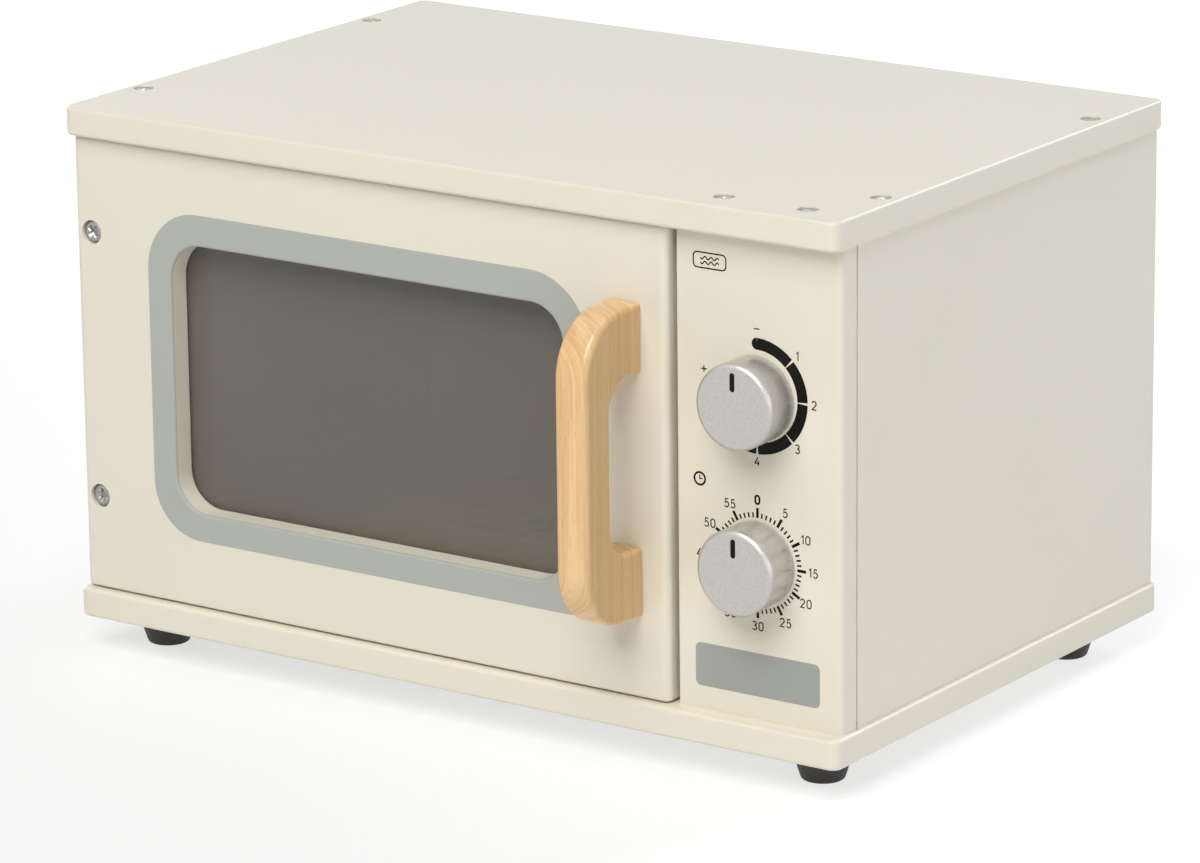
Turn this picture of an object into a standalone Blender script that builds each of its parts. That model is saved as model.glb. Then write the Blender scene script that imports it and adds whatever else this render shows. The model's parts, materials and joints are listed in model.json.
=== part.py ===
"""Toy microwave oven, built as its boards and fittings are: a painted board case on rubber feet,
a side-hung door with a window and a beech handle, two dials that turn, and a wooden turntable.

Lengths are in metres and Z is up. X runs along the front, from the hinges to the dials, and the
front faces -Y. The origin is on the ground, under the middle of the whole object.
"""

import math
from collections import namedtuple

import bmesh
import bpy
from mathutils import Euler, Matrix, Vector

# The case as a whole. Its height runs from the underside of the bottom panel to the top.
case_width = 0.300
case_depth = 0.1993
case_height = 0.1744
foot_height = 0.0116

# Boards. The top and bottom panels stand out past the body that they close.
panel_board = 0.0098
body_board = 0.0088
panel_corner = 0.0038
panel_edge = 0.0013
upright_edge = 0.0021
fascia_inner_edge = 0.0008
side_inset = 0.0018
side_rear_setback = 0.0007
back_setback = 0.0063
fascia_setback = 0.0060
fascia_width = 0.0606

# Gaps: between pieces that touch, round a screw in its hole, and round a shaft that turns.
seam = 0.0003
screw_gap = 0.0002
running_gap = 0.00015

# Door and its cut-out.
door_setback = 0.0031
door_hinge_inset = 0.0014
door_free_gap = 0.0019
door_end_gap = 0.0005
door_corner = 0.0025
door_edge = 0.0010
window_hinge_rail = 0.0394
window_free_rail = 0.0392
window_height = 0.0907
window_rise = 0.0005
window_corner = 0.0125
pane_thickness = 0.0020
pane_lap = 0.0060
pane_corner = 0.0060

# Handle, cut from one piece of beech as a square-shouldered C.
handle_width = 0.0123
handle_depth = 0.0297
handle_height = 0.1013
handle_grip = 0.0138
handle_foot = 0.0223
handle_shoulder = 0.0200
handle_inner_corner = 0.0105
handle_edge = 0.0023
handle_inset = 0.0095
handle_rise = 0.0008

# Butt hinges, each with one bolt through the door and two screws into the side panel.
hinge_spacing = 0.0902
hinge_height = 0.0240
hinge_outset = 0.0003
knuckle_clearance = 0.0002
pin_radius = 0.0006
pin_head_radius = 0.0011
pin_head_height = 0.0005
door_leaf_width = 0.0110
case_leaf_width = 0.0086
leaf_corner = 0.0008
leaf_screw_spacing = 0.0160
door_bolt_inset = 0.0068

# Catch: a magnet in the partition's front edge meets a steel disc on the door.
door_landing = 0.0094
magnet_radius = 0.0030
magnet_sunk = 0.0080
magnet_chamfer = 0.0004
strike_radius = 0.0042
strike_thickness = 0.0013

# Dials: each knob is fixed to a shaft that a nut holds behind the fascia.
dial_inset = 0.0297
dial_spacing = 0.0529
knob_radius = 0.0139
knob_base_radius = 0.0136
knob_length = 0.0136
knob_rim = 0.0016
knob_base_edge = 0.0004
knob_bore_depth = 0.0078
shaft_radius = 0.0030
shaft_tail = 0.0015
shaft_chamfer = 0.0005
nut_radius = 0.0060
nut_thickness = 0.0030
mark_length = 0.0061
mark_width = 0.0018
mark_reach = 0.0081
mark_depth = 0.0004

# Turntable: a wooden disc that turns on a screw over a spacer.
turntable_radius = 0.0634
turntable_thickness = 0.0060
turntable_edge = 0.0015
turntable_lift = 0.0084
spacer_radius = 0.0090
spacer_edge = 0.0006

# Rubber feet, wider at the top, each with a well for its screw.
foot_top_radius = 0.0105
foot_bottom_radius = 0.0069
foot_round = 0.0013
foot_well_depth = 0.0060
foot_side_inset = 0.0196
foot_front_inset = 0.0229
foot_rear_inset = 0.0270

# Where the board screws go. They stand the same way in the top and in the bottom panel.
side_screw_front_inset = 0.0349
side_screw_rear_inset = 0.0379
fascia_screw_inset = 0.0150
board_screw_sink = 0.0005
door_bolt_sink = 0.0008
pane_screw_inset = 0.0040

# Screws. Each kind has its head radius, head height, shank radius and length over all.
Screw = namedtuple("Screw", "head_radius head_height shank_radius length flat_head pointed")
board_screw_head_radius = 0.0035
board_screw_head_height = 0.0027
board_screw_shank_radius = 0.0017
board_screw_length = 0.0300
board_screw = Screw(
    board_screw_head_radius,
    board_screw_head_height,
    board_screw_shank_radius,
    board_screw_length,
    flat_head=True,
    pointed=True,
)
leaf_screw_head_radius = 0.0021
leaf_screw_head_height = 0.0010
leaf_screw_shank_radius = 0.0010
leaf_screw_length = 0.0080
leaf_screw = Screw(
    leaf_screw_head_radius,
    leaf_screw_head_height,
    leaf_screw_shank_radius,
    leaf_screw_length,
    flat_head=True,
    pointed=True,
)
pane_screw_head_radius = 0.0025
pane_screw_head_height = 0.0014
pane_screw_shank_radius = 0.0011
pane_screw_length = 0.0090
pane_screw = Screw(
    pane_screw_head_radius,
    pane_screw_head_height,
    pane_screw_shank_radius,
    pane_screw_length,
    flat_head=False,
    pointed=True,
)
handle_screw_head_radius = 0.0035
handle_screw_head_height = 0.0022
handle_screw_shank_radius = 0.0018
handle_screw_length = 0.0250
handle_screw = Screw(
    handle_screw_head_radius,
    handle_screw_head_height,
    handle_screw_shank_radius,
    handle_screw_length,
    flat_head=False,
    pointed=True,
)
foot_screw_head_radius = 0.0034
foot_screw_head_height = 0.0020
foot_screw_shank_radius = 0.0016
foot_screw_length = 0.0140
foot_screw = Screw(
    foot_screw_head_radius,
    foot_screw_head_height,
    foot_screw_shank_radius,
    foot_screw_length,
    flat_head=False,
    pointed=True,
)
turntable_screw_head_radius = 0.0045
turntable_screw_head_height = 0.0022
turntable_screw_shank_radius = 0.0022
turntable_screw_length = 0.0240
turntable_screw = Screw(
    turntable_screw_head_radius,
    turntable_screw_head_height,
    turntable_screw_shank_radius,
    turntable_screw_length,
    flat_head=False,
    pointed=True,
)
door_bolt_head_radius = 0.0038
door_bolt_head_height = 0.0020
door_bolt_shank_radius = 0.0015

# Shapes that every screw shares, as shares of its own sizes.
cross_reach_share = 0.62
cross_arm_share = 0.20
cross_depth_share = 0.55
pan_crown_share = 0.55
flat_rim_share = 0.15
tip_length_share = 2.0
mark_end_share = 0.90

# Cutting tools run past the faces that they open, and loose points this close are one.
overrun = 0.0010
weld = 0.000001
sharp_angle = math.radians(35)
arc_steps = 5
small_arc_steps = 2
panel_arc_steps = 4
handle_arc_steps = 9
knob_arc_steps = 3
edge_steps = 3
door_edge_steps = 2
circular = 0.5
fine_round = 36
middle_round = 20
small_round = 12
hidden_round = 8
nut_sides = 6

# Heights and places that follow from the sizes.
case_y = (handle_depth + seam - door_setback) / 2
panel_front = case_y - case_depth / 2
panel_rear = case_y + case_depth / 2
case_top = foot_height + case_height
floor_top = foot_height + panel_board
roof_under = case_top - panel_board
middle_height = (floor_top + roof_under) / 2
body_half = case_width / 2 - side_inset
side_centre = body_half - body_board / 2
fascia_front = panel_front + fascia_setback
carcass_front = fascia_front + body_board + seam
side_rear = panel_rear - side_rear_setback
back_front = panel_rear - back_setback - body_board
fascia_left = body_half - fascia_width
door_front = panel_front + door_setback
door_back = door_front + body_board
door_left = door_hinge_inset - case_width / 2
door_right = fascia_left - door_free_gap
door_centre = (door_left + door_right) / 2
door_height = roof_under - floor_top - 2 * door_end_gap
window_left = door_left + window_hinge_rail
window_right = door_right - window_free_rail
window_centre = (window_left + window_right) / 2
window_width = window_right - window_left
window_mid_height = middle_height + window_rise
handle_centre = door_right - handle_inset - handle_width / 2
handle_mid_height = middle_height + handle_rise
handle_screw_reach = (handle_height - handle_foot) / 2
hinge_gap = carcass_front - door_back
hinge_x = -body_half - hinge_outset
hinge_y = door_back + hinge_gap / 2
leaf_thickness = (hinge_gap - 3 * seam) / 2
door_leaf_back = door_back + seam + leaf_thickness
door_bolt = Screw(
    door_bolt_head_radius,
    door_bolt_head_height,
    door_bolt_shank_radius,
    door_leaf_back - door_front - door_bolt_sink,
    flat_head=False,
    pointed=False,
)
knuckle_radius = hinge_gap / 2 - knuckle_clearance
knuckle_height = (hinge_height - 2 * knuckle_clearance) / 3
partition_left = door_right - door_landing
partition_centre = partition_left + body_board / 2
cavity_left = body_board - body_half
turntable_x = (cavity_left + partition_left) / 2
turntable_y = (carcass_front + back_front) / 2
turntable_base = floor_top + turntable_lift
turntable_top = turntable_base + turntable_thickness
dial_x = fascia_left + dial_inset
foot_x = case_width / 2 - foot_side_inset
foot_front = panel_front + foot_front_inset
foot_rear = panel_rear - foot_rear_inset

# Ways that a piece's own top, its local +Z, can face.
facing_up = (0, 0, 0)
facing_down = (math.pi, 0, 0)
facing_front = (math.pi / 2, 0, 0)
facing_rear = (-math.pi / 2, 0, 0)
standing_side_on = (math.pi / 2, 0, -math.pi / 2)


def clear_scene():
    for obj in list(bpy.data.objects):
        bpy.data.objects.remove(obj, do_unlink=True)


def finish(name, colour, roughness, metallic=0.0, alpha=1.0):
    """A material from a linear colour and its two surface values."""
    material = bpy.data.materials.new(name)
    material.use_nodes = True
    shader = material.node_tree.nodes["Principled BSDF"]
    shader.inputs["Base Color"].default_value = (*colour, 1.0)
    shader.inputs["Roughness"].default_value = roughness
    shader.inputs["Metallic"].default_value = metallic
    shader.inputs["Alpha"].default_value = alpha
    material.diffuse_color = (*colour, alpha)
    return material


def rounded(corners, steps=arc_steps):
    """Points of a closed outline whose corners, each (x, y, radius), are arcs of so many steps."""
    points = []
    for index, (x, y, radius) in enumerate(corners):
        here = Vector((x, y))
        if not radius:
            points.append(here)
            continue
        before = (Vector(corners[index - 1][:2]) - here).normalized()
        after = (Vector(corners[(index + 1) % len(corners)][:2]) - here).normalized()
        half = before.angle(after) / 2
        centre = here + (before + after).normalized() * radius / math.sin(half)
        first = here + before * radius / math.tan(half) - centre
        last = here + after * radius / math.tan(half) - centre
        sweep = math.atan2(first.x * last.y - first.y * last.x, first.dot(last))
        for step in range(steps + 1):
            points.append(centre + Matrix.Rotation(sweep * step / steps, 2) @ first)
    return points


def rectangle(width, height, radius=0, steps=arc_steps):
    """A rectangle about the origin, anticlockwise, with its corners rounded."""
    x, y = width / 2, height / 2
    return rounded([(-x, -y, radius), (x, -y, radius), (x, y, radius), (-x, y, radius)], steps)


def box_outline(left, right, front, rear, radii=(0, 0, 0, 0)):
    """A rectangle between four edges. Its radii start at the left front corner, anticlockwise."""
    places = ((left, front), (right, front), (right, rear), (left, rear))
    return rounded([(x, y, radius) for (x, y), radius in zip(places, radii)])


def drawn_out(shape, faces, depth):
    """Draws faces in the XY plane out to a depth along Z, which closes them into a solid."""
    extruded = bmesh.ops.extrude_face_region(shape, geom=faces)
    risen = [item for item in extruded["geom"] if isinstance(item, bmesh.types.BMVert)]
    bmesh.ops.translate(shape, verts=risen, vec=(0, 0, depth))
    bmesh.ops.recalc_face_normals(shape, faces=shape.faces)
    return shape


def prism(outline, depth):
    """A solid with one outline all the way, from z = 0 to its depth."""
    shape = bmesh.new()
    face = shape.faces.new([shape.verts.new((*point, 0)) for point in outline])
    return drawn_out(shape, [face], depth)


def turned(profile, segments):
    """A solid turned round Z from (radius, height) points.

    The line runs from axis to axis. One that starts off the axis is a closed loop, for a ring.
    """
    shape = bmesh.new()
    line = [shape.verts.new((point[0], 0, point[1])) for point in profile]
    edges = [shape.edges.new(pair) for pair in zip(line, line[1:])]
    if profile[0][0] > 0:
        edges.append(shape.edges.new((line[-1], line[0])))
    bmesh.ops.spin(
        shape,
        geom=line + edges,
        axis=(0, 0, 1),
        cent=(0, 0, 0),
        angle=2 * math.pi,
        steps=segments,
        use_merge=True,
    )
    bmesh.ops.remove_doubles(shape, verts=shape.verts, dist=weld)
    bmesh.ops.recalc_face_normals(shape, faces=shape.faces)
    return shape


def mesh_of(name, shape, material=None):
    mesh = bpy.data.meshes.new(name)
    shape.to_mesh(mesh)
    shape.free()
    mesh.shade_smooth()
    mesh.set_sharp_from_angle(angle=sharp_angle)
    if material:
        mesh.materials.append(material)
    return mesh


def place(name, mesh, spot=(0, 0, 0), facing=facing_up, carrier=None):
    """An object of its own at a spot of the whole model, carried by an empty if it moves."""
    obj = bpy.data.objects.new(name, mesh)
    bpy.context.scene.collection.objects.link(obj)
    obj.rotation_euler = facing
    obj.location = Vector(spot)
    if carrier:
        obj.parent = carrier
        obj.location -= carrier.location
    return obj


def pivot(name, spot):
    """An empty on a joint's axis, for what turns there."""
    empty = place(name, None, spot)
    empty.empty_display_size = knob_radius
    return empty


def cutter(name, mesh, spots, facing=facing_up):
    """One hidden tool that holds a copy of a mesh at each spot."""
    shape = bmesh.new()
    for spot in spots:
        first = len(shape.verts)
        shape.from_mesh(mesh)
        shape.verts.ensure_lookup_table()
        bmesh.ops.transform(
            shape,
            matrix=Matrix.LocRotScale(Vector(spot), Euler(facing), None),
            verts=shape.verts[first:],
        )
    tool = place(name, mesh_of(name, shape))
    tool.hide_render = True
    tool.display_type = "WIRE"
    return tool


def cut(tool, *objects, operation="DIFFERENCE"):
    for obj in objects:
        change = obj.modifiers.new(tool.name, "BOOLEAN")
        change.operation = operation
        change.object = tool


def round_edges(obj, width, segments=edge_steps):
    bevel = obj.modifiers.new("rounded edges", "BEVEL")
    bevel.width = width
    bevel.segments = segments
    bevel.limit_method = "ANGLE"
    bevel.angle_limit = sharp_angle


def settled(obj):
    """The mesh that an object's modifiers give, for copies to share. The object itself goes."""
    bpy.context.view_layer.update()
    graph = bpy.context.evaluated_depsgraph_get()
    mesh = bpy.data.meshes.new_from_object(obj.evaluated_get(graph))
    tools = [change.object for change in obj.modifiers if change.type == "BOOLEAN"]
    for used in [obj, *tools]:
        bpy.data.objects.remove(used, do_unlink=True)
    return mesh


def screw_profile(kind, gap=0.0, above=0.0):
    """Half section of a screw, its head's top at z = 0. With a gap, it is the hole for that screw.

    above is how far the hole is open over the head.
    """
    head = kind.head_radius + gap
    shank = kind.shank_radius + gap
    neck = -kind.head_height - gap
    end = -kind.length - gap
    if kind.flat_head:
        rim = -kind.head_height * flat_rim_share - gap
        corners = [(0, above, 0), (head, above, 0), (head, rim, 0), (shank, neck, 0)]
    else:
        crown = 0 if gap else kind.head_height * pan_crown_share
        corners = [(0, above, 0), (head, above, crown), (head, neck, 0), (shank, neck, 0)]
    if kind.pointed:
        corners += [(shank, end + shank * tip_length_share, 0), (0, end, 0)]
    else:
        corners += [(shank, end, 0), (0, end, 0)]
    return rounded(corners, small_arc_steps)


def screw_mesh(name, kind, material, segments=small_round):
    """A screw whose head shows, with a cross recess in it."""
    reach = kind.head_radius * cross_reach_share
    arm = kind.head_radius * cross_arm_share
    depth = kind.head_height * cross_depth_share
    quarter = [Vector((reach, -arm)), Vector((reach, arm)), Vector((arm, arm))]
    cross = [Matrix.Rotation(turn * math.pi / 2, 2) @ point for turn in range(4) for point in quarter]
    body = place(name, mesh_of(name, turned(screw_profile(kind), segments), material))
    recess = mesh_of(name + "_cross", prism(cross, depth + overrun))
    cut(cutter(name + "_cross", recess, [(0, 0, -depth)]), body)
    return settled(body)


def plain_screw_mesh(name, kind, material):
    """A screw whose head is out of sight."""
    return mesh_of(name, turned(screw_profile(kind), hidden_round), material)


def hole_mesh(name, kind, above=0.0, segments=hidden_round):
    """The tool that opens a screw's hole, which is open for some way above its head."""
    return mesh_of(name, turned(screw_profile(kind, screw_gap, above), segments))


def board(name, outline, base, top, material):
    """An upright or level board, from its plan outline and its two heights."""
    return place(name, mesh_of(name, prism(outline, top - base), material), (0, 0, base))


def make_case_panels(paint):
    """Top and bottom panels: the same board, round at its corners and along its edges."""
    outline = rectangle(case_width, case_depth, panel_corner, panel_arc_steps)
    mesh = mesh_of("case_panel", prism(outline, panel_board), paint)
    panels = []
    for name, base in (("top_panel", roof_under), ("bottom_panel", foot_height)):
        panel = place(name, mesh, (0, case_y, base))
        round_edges(panel, panel_edge)
        panels.append(panel)
    return panels


def make_body_boards(paint):
    """Two sides, back and partition, each standing between the top and bottom panels."""
    base, top = floor_top + seam, roof_under - seam
    inner = body_half - body_board
    left_plan = box_outline(-body_half, -inner, carcass_front, side_rear, (0, 0, 0, upright_edge))
    right_plan = box_outline(inner, body_half, carcass_front, side_rear, (0, 0, upright_edge, 0))
    back_plan = box_outline(seam - inner, inner - seam, back_front, back_front + body_board)
    wall_plan = box_outline(
        partition_left, partition_left + body_board, carcass_front, back_front - seam
    )
    left = board("left_side_panel", left_plan, base, top, paint)
    right = board("right_side_panel", right_plan, base, top, paint)
    board("back_panel", back_plan, base, top, paint)
    partition = board("partition_panel", wall_plan, base, top, paint)
    return left, right, partition


def make_fascia(paint):
    """Control fascia: the upright board that carries the dials, round at its outer front edge."""
    plan = box_outline(
        fascia_left,
        body_half,
        fascia_front,
        fascia_front + body_board,
        (fascia_inner_edge, upright_edge, 0, 0),
    )
    return board("control_fascia", plan, floor_top + seam, roof_under - seam, paint)


def fix_case(top_panel, bottom_panel, left, right, fascia, steel):
    """Screws down through the top panel and up through the bottom one, into the boards' ends."""
    spots = {}
    for side, x in (("left", -side_centre), ("right", side_centre)):
        spots[side + "_front"] = (x, panel_front + side_screw_front_inset)
        spots[side + "_rear"] = (x, panel_rear - side_screw_rear_inset)
    fascia_y = fascia_front + body_board / 2
    spots["fascia_inner"] = (fascia_left + fascia_screw_inset, fascia_y)
    spots["fascia_outer"] = (body_half - fascia_screw_inset, fascia_y)
    mesh = screw_mesh("board_screw", board_screw, steel)
    hole = hole_mesh("board_screw_hole", board_screw, board_screw_sink + overrun, small_round)
    for panel, label, height, facing in (
        (top_panel, "top", case_top - board_screw_sink, facing_up),
        (bottom_panel, "bottom", foot_height + board_screw_sink, facing_down),
    ):
        for where, (x, y) in spots.items():
            place(f"{label}_screw_{where}", mesh, (x, y, height), facing)
        places = [(x, y, height) for x, y in spots.values()]
        cut(cutter(label + "_screw_holes", hole, places, facing), panel, left, right, fascia)


def make_feet(bottom_panel, rubber, steel):
    """Four rubber feet, each with its screw up into the bottom panel from a well in the foot."""
    well = foot_screw_head_radius + screw_gap
    bore = foot_screw_shank_radius + screw_gap
    height = foot_height - seam
    section = rounded(
        [
            (well, 0, 0),
            (foot_bottom_radius, 0, foot_round),
            (foot_top_radius, height, 0),
            (bore, height, 0),
            (bore, foot_well_depth, 0),
            (well, foot_well_depth, 0),
        ],
        small_arc_steps,
    )
    mesh = mesh_of("foot", turned(section, middle_round), rubber)
    screw = plain_screw_mesh("foot_screw", foot_screw, steel)
    head_height = foot_well_depth - seam - foot_screw_head_height
    spots = {}
    for end, y in (("front", foot_front), ("rear", foot_rear)):
        for side, x in (("left", -foot_x), ("right", foot_x)):
            place(f"foot_{end}_{side}", mesh, (x, y, 0))
            spots[f"foot_screw_{end}_{side}"] = (x, y, head_height)
    for name, spot in spots.items():
        place(name, screw, spot, facing_down)
    hole = hole_mesh("foot_screw_hole", foot_screw)
    cut(cutter("foot_screw_holes", hole, spots.values(), facing_down), bottom_panel)


def make_door(carrier, paint):
    """Door board: rounder up its two front corners, with a routed window and all edges eased."""
    corners = (door_corner, door_corner, 0, 0)
    plan = box_outline(door_left, door_right, door_front, door_back, corners)
    mesh = mesh_of("door_panel", prism(plan, door_height), paint)
    door = place("door_panel", mesh, (0, 0, floor_top + door_end_gap), carrier=carrier)
    opening = prism(rectangle(window_width, window_height, window_corner), body_board + 2 * overrun)
    spot = (window_centre, door_back + overrun, window_mid_height)
    cut(cutter("window_opening", mesh_of("opening", opening), [spot], facing_front), door)
    round_edges(door, door_edge, door_edge_steps)
    return door


def make_pane(door, carrier, glazing, steel):
    """Window pane on the back of the door, lapped round the cut-out, with a screw at each corner."""
    width, height = window_width + 2 * pane_lap, window_height + 2 * pane_lap
    pane_back = door_back + seam + pane_thickness
    mesh = mesh_of("window_pane", prism(rectangle(width, height, pane_corner), pane_thickness), glazing)
    spot = (window_centre, pane_back, window_mid_height)
    pane = place("window_pane", mesh, spot, facing_front, carrier)
    screw = plain_screw_mesh("pane_screw", pane_screw, steel)
    head_y = pane_back + seam + pane_screw_head_height
    spots = {}
    for level, up in (("upper", 1), ("lower", -1)):
        for side, across in (("left", -1), ("right", 1)):
            x = window_centre + across * (width / 2 - pane_screw_inset)
            z = window_mid_height + up * (height / 2 - pane_screw_inset)
            spots[f"pane_screw_{level}_{side}"] = (x, head_y, z)
    for name, place_of in spots.items():
        place(name, screw, place_of, facing_rear, carrier)
    hole = hole_mesh("pane_screw_hole", pane_screw)
    cut(cutter("pane_screw_holes", hole, spots.values(), facing_rear), door, pane)


def make_handle(door, carrier, beech, steel):
    """Beech handle: a C drawn from its side, sawn to width, with its edges rounded by hand.

    The ends that stand on the door stay square. A screw holds each end from behind the door.
    """
    reach = handle_depth - handle_grip
    corners = [
        (0, 0, 0),
        (handle_depth, 0, handle_shoulder),
        (handle_depth, handle_height, handle_shoulder),
        (0, handle_height, 0),
        (0, handle_height - handle_foot, 0),
        (reach, handle_height - handle_foot, handle_inner_corner),
        (reach, handle_foot, handle_inner_corner),
        (0, handle_foot, 0),
    ]
    shape = prism(rounded(corners, handle_arc_steps), handle_width)
    rims = [
        edge
        for edge in shape.edges
        if edge.verts[0].co.z == edge.verts[1].co.z and max(vert.co.x for vert in edge.verts) > 0
    ]
    bmesh.ops.bevel(
        shape,
        geom=rims,
        offset=handle_edge,
        segments=edge_steps,
        profile=circular,
        affect="EDGES",
    )
    base = handle_mid_height - handle_height / 2
    spot = (handle_centre + handle_width / 2, door_front - seam, base)
    mesh = mesh_of("handle", shape, beech)
    handle = place("handle", mesh, spot, standing_side_on, carrier)
    screw = plain_screw_mesh("handle_screw", handle_screw, steel)
    head_y = door_back + seam + handle_screw_head_height
    spots = []
    for level, up in (("upper", 1), ("lower", -1)):
        spots.append((handle_centre, head_y, handle_mid_height + up * handle_screw_reach))
        place("handle_screw_" + level, screw, spots[-1], facing_rear, carrier)
    hole = hole_mesh("handle_screw_hole", handle_screw)
    cut(cutter("handle_screw_holes", hole, spots, facing_rear), door, handle)


def leaf_mesh(name, width, knuckles_outside):
    """Plate of a hinge leaf, notched beside the other leaf's knuckles. Its x runs from the pin."""
    clear = knuckle_radius + knuckle_clearance
    end = hinge_height / 2
    if knuckles_outside:
        step, at_ends, at_middle = end - knuckle_height, 0, clear
    else:
        step, at_ends, at_middle = knuckle_height / 2, clear, 0
    corners = [
        (at_ends, end, 0),
        (at_ends, step, 0),
        (at_middle, step, 0),
        (at_middle, -step, 0),
        (at_ends, -step, 0),
        (at_ends, -end, 0),
        (width, -end, leaf_corner),
        (width, end, leaf_corner),
    ]
    return mesh_of(name, prism(rounded(corners, small_arc_steps), leaf_thickness))


def make_hinges(door, left, door_carrier, steel, brass):
    """Two butt hinges. Each has a door leaf, a case leaf with two screws, and a headed pin."""
    knuckle = mesh_of("knuckle", prism(circle(knuckle_radius, small_round), knuckle_height))
    bore_depth = hinge_height + 2 * overrun
    bore = mesh_of("pin_bore", prism(circle(pin_radius + running_gap, small_round), bore_depth))
    bolt = screw_mesh("door_bolt", door_bolt, steel, middle_round)
    bolt_hole = hole_mesh("door_bolt_hole", door_bolt, door_bolt_sink + overrun, middle_round)
    small_screw = plain_screw_mesh("leaf_screw", leaf_screw, steel)
    small_hole = hole_mesh("leaf_screw_hole", leaf_screw, overrun)
    pin_mesh = mesh_of("hinge_pin", turned(pin_profile(), small_round), steel)
    case_leaf_y = carcass_front - seam
    bolt_spots, screw_spots = [], []
    for level, up in (("upper", 1), ("lower", -1)):
        height = middle_height + up * hinge_spacing / 2
        foot = height - hinge_height / 2
        axis = (hinge_x, hinge_y)
        bolt_spot = (door_left + door_bolt_inset, door_front + door_bolt_sink, height)
        leaf_spots = [
            (hinge_x + case_leaf_width / 2, case_leaf_y - leaf_thickness, height + rise)
            for rise in (leaf_screw_spacing / 2, -leaf_screw_spacing / 2)
        ]
        bolt_spots.append(bolt_spot)
        screw_spots += leaf_spots
        door_leaf = place(
            f"hinge_door_leaf_{level}",
            leaf_mesh("door_leaf", door_leaf_width, knuckles_outside=False),
            (hinge_x, door_leaf_back, height),
            facing_front,
            door_carrier,
        )
        case_leaf = place(
            f"hinge_case_leaf_{level}",
            leaf_mesh("case_leaf", case_leaf_width, knuckles_outside=True),
            (hinge_x, case_leaf_y, height),
            facing_front,
        )
        middle = [(*axis, foot + knuckle_height + knuckle_clearance)]
        ends = [(*axis, foot), (*axis, foot + hinge_height - knuckle_height)]
        bore_tool = cutter("bore_" + level, bore, [(*axis, foot - overrun)])
        for leaf, spots in ((door_leaf, middle), (case_leaf, ends)):
            leaf.data.materials.append(brass)
            cut(cutter(leaf.name + "_knuckles", knuckle, spots), leaf, operation="UNION")
            cut(bore_tool, leaf)
        cut(cutter("bolt_tool_" + level, bolt_hole, [bolt_spot], facing_front), door_leaf)
        cut(cutter("leaf_tool_" + level, small_hole, leaf_spots, facing_front), case_leaf)
        place("hinge_pin_" + level, pin_mesh, (*axis, foot + hinge_height))
        place("door_bolt_" + level, bolt, bolt_spot, facing_front, door_carrier)
        for row, spot in zip(("top", "bottom"), leaf_spots):
            place(f"hinge_screw_{level}_{row}", small_screw, spot, facing_front)
    cut(cutter("door_bolt_holes", bolt_hole, bolt_spots, facing_front), door)
    cut(cutter("hinge_screw_holes", small_hole, screw_spots, facing_front), left)


def circle(radius, segments):
    return [
        Vector((radius * math.cos(turn), radius * math.sin(turn)))
        for turn in (2 * math.pi * step / segments for step in range(segments))
    ]


def pin_profile():
    """A hinge pin from its head down. The head rests on the upper knuckle."""
    return [
        (0, seam + pin_head_height),
        (pin_head_radius, seam + pin_head_height),
        (pin_head_radius, seam),
        (pin_radius, seam),
        (pin_radius, -hinge_height),
        (0, -hinge_height),
    ]


def make_catch(door, partition, carrier, steel, magnet_finish):
    """Magnet in the partition's front edge, and the steel disc that it holds on the door."""
    strike_y = door_back + seam + strike_thickness
    magnet_front = strike_y + seam
    length = carcass_front + magnet_sunk - magnet_front
    magnet_corners = [
        (0, 0, 0),
        (magnet_radius - magnet_chamfer, 0, 0),
        (magnet_radius, -magnet_chamfer, 0),
        (magnet_radius, -length, 0),
        (0, -length, 0),
    ]
    magnet_mesh = mesh_of("magnet", turned(rounded(magnet_corners), middle_round), magnet_finish)
    magnet_spot = (partition_centre, magnet_front, middle_height)
    place("catch_magnet", magnet_mesh, magnet_spot, facing_front)
    socket = prism(circle(magnet_radius + screw_gap, middle_round), length + seam + overrun)
    socket_spot = (partition_centre, carcass_front + magnet_sunk + seam, middle_height)
    cut(cutter("magnet_socket", mesh_of("magnet_socket", socket), [socket_spot], facing_front), partition)
    strike_mesh = mesh_of("strike", prism(circle(strike_radius, middle_round), strike_thickness), steel)
    strike_spot = (partition_centre, strike_y, middle_height)
    strike = place("catch_strike", strike_mesh, strike_spot, facing_front, carrier)
    screw = plain_screw_mesh("strike_screw", leaf_screw, steel)
    screw_spot = (partition_centre, strike_y, middle_height)
    place("catch_screw", screw, screw_spot, facing_rear, carrier)
    hole = hole_mesh("strike_screw_hole", leaf_screw, overrun)
    cut(cutter("strike_screw_hole", hole, [screw_spot], facing_rear), strike, door)


def knob_mesh(silver):
    """Knob: turned, a little wider at its rounded rim, bored from behind, with a slot for a mark."""
    bore = shaft_radius + running_gap
    section = rounded(
        [
            (0, knob_bore_depth, 0),
            (bore, knob_bore_depth, 0),
            (bore, 0, 0),
            (knob_base_radius, 0, knob_base_edge),
            (knob_radius, knob_length, knob_rim),
            (0, knob_length, 0),
        ],
        knob_arc_steps,
    )
    body = place("knob", mesh_of("knob", turned(section, fine_round), silver))
    slot = rectangle(mark_width, mark_length, mark_width / 2 * mark_end_share, knob_arc_steps)
    slot_mesh = mesh_of("mark", prism(slot, mark_depth + overrun))
    cut(cutter("mark_tool", slot_mesh, [(0, mark_reach, knob_length - mark_depth)]), body)
    return settled(body)


def nut_mesh(steel):
    hexagon = circle(nut_radius, nut_sides)
    body = place("nut", mesh_of("nut", prism(hexagon, nut_thickness), steel))
    bore = prism(circle(shaft_radius + running_gap, middle_round), nut_thickness + 2 * overrun)
    cut(cutter("nut_bore", mesh_of("nut_bore", bore), [(0, 0, -overrun)]), body)
    return settled(body)


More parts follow.
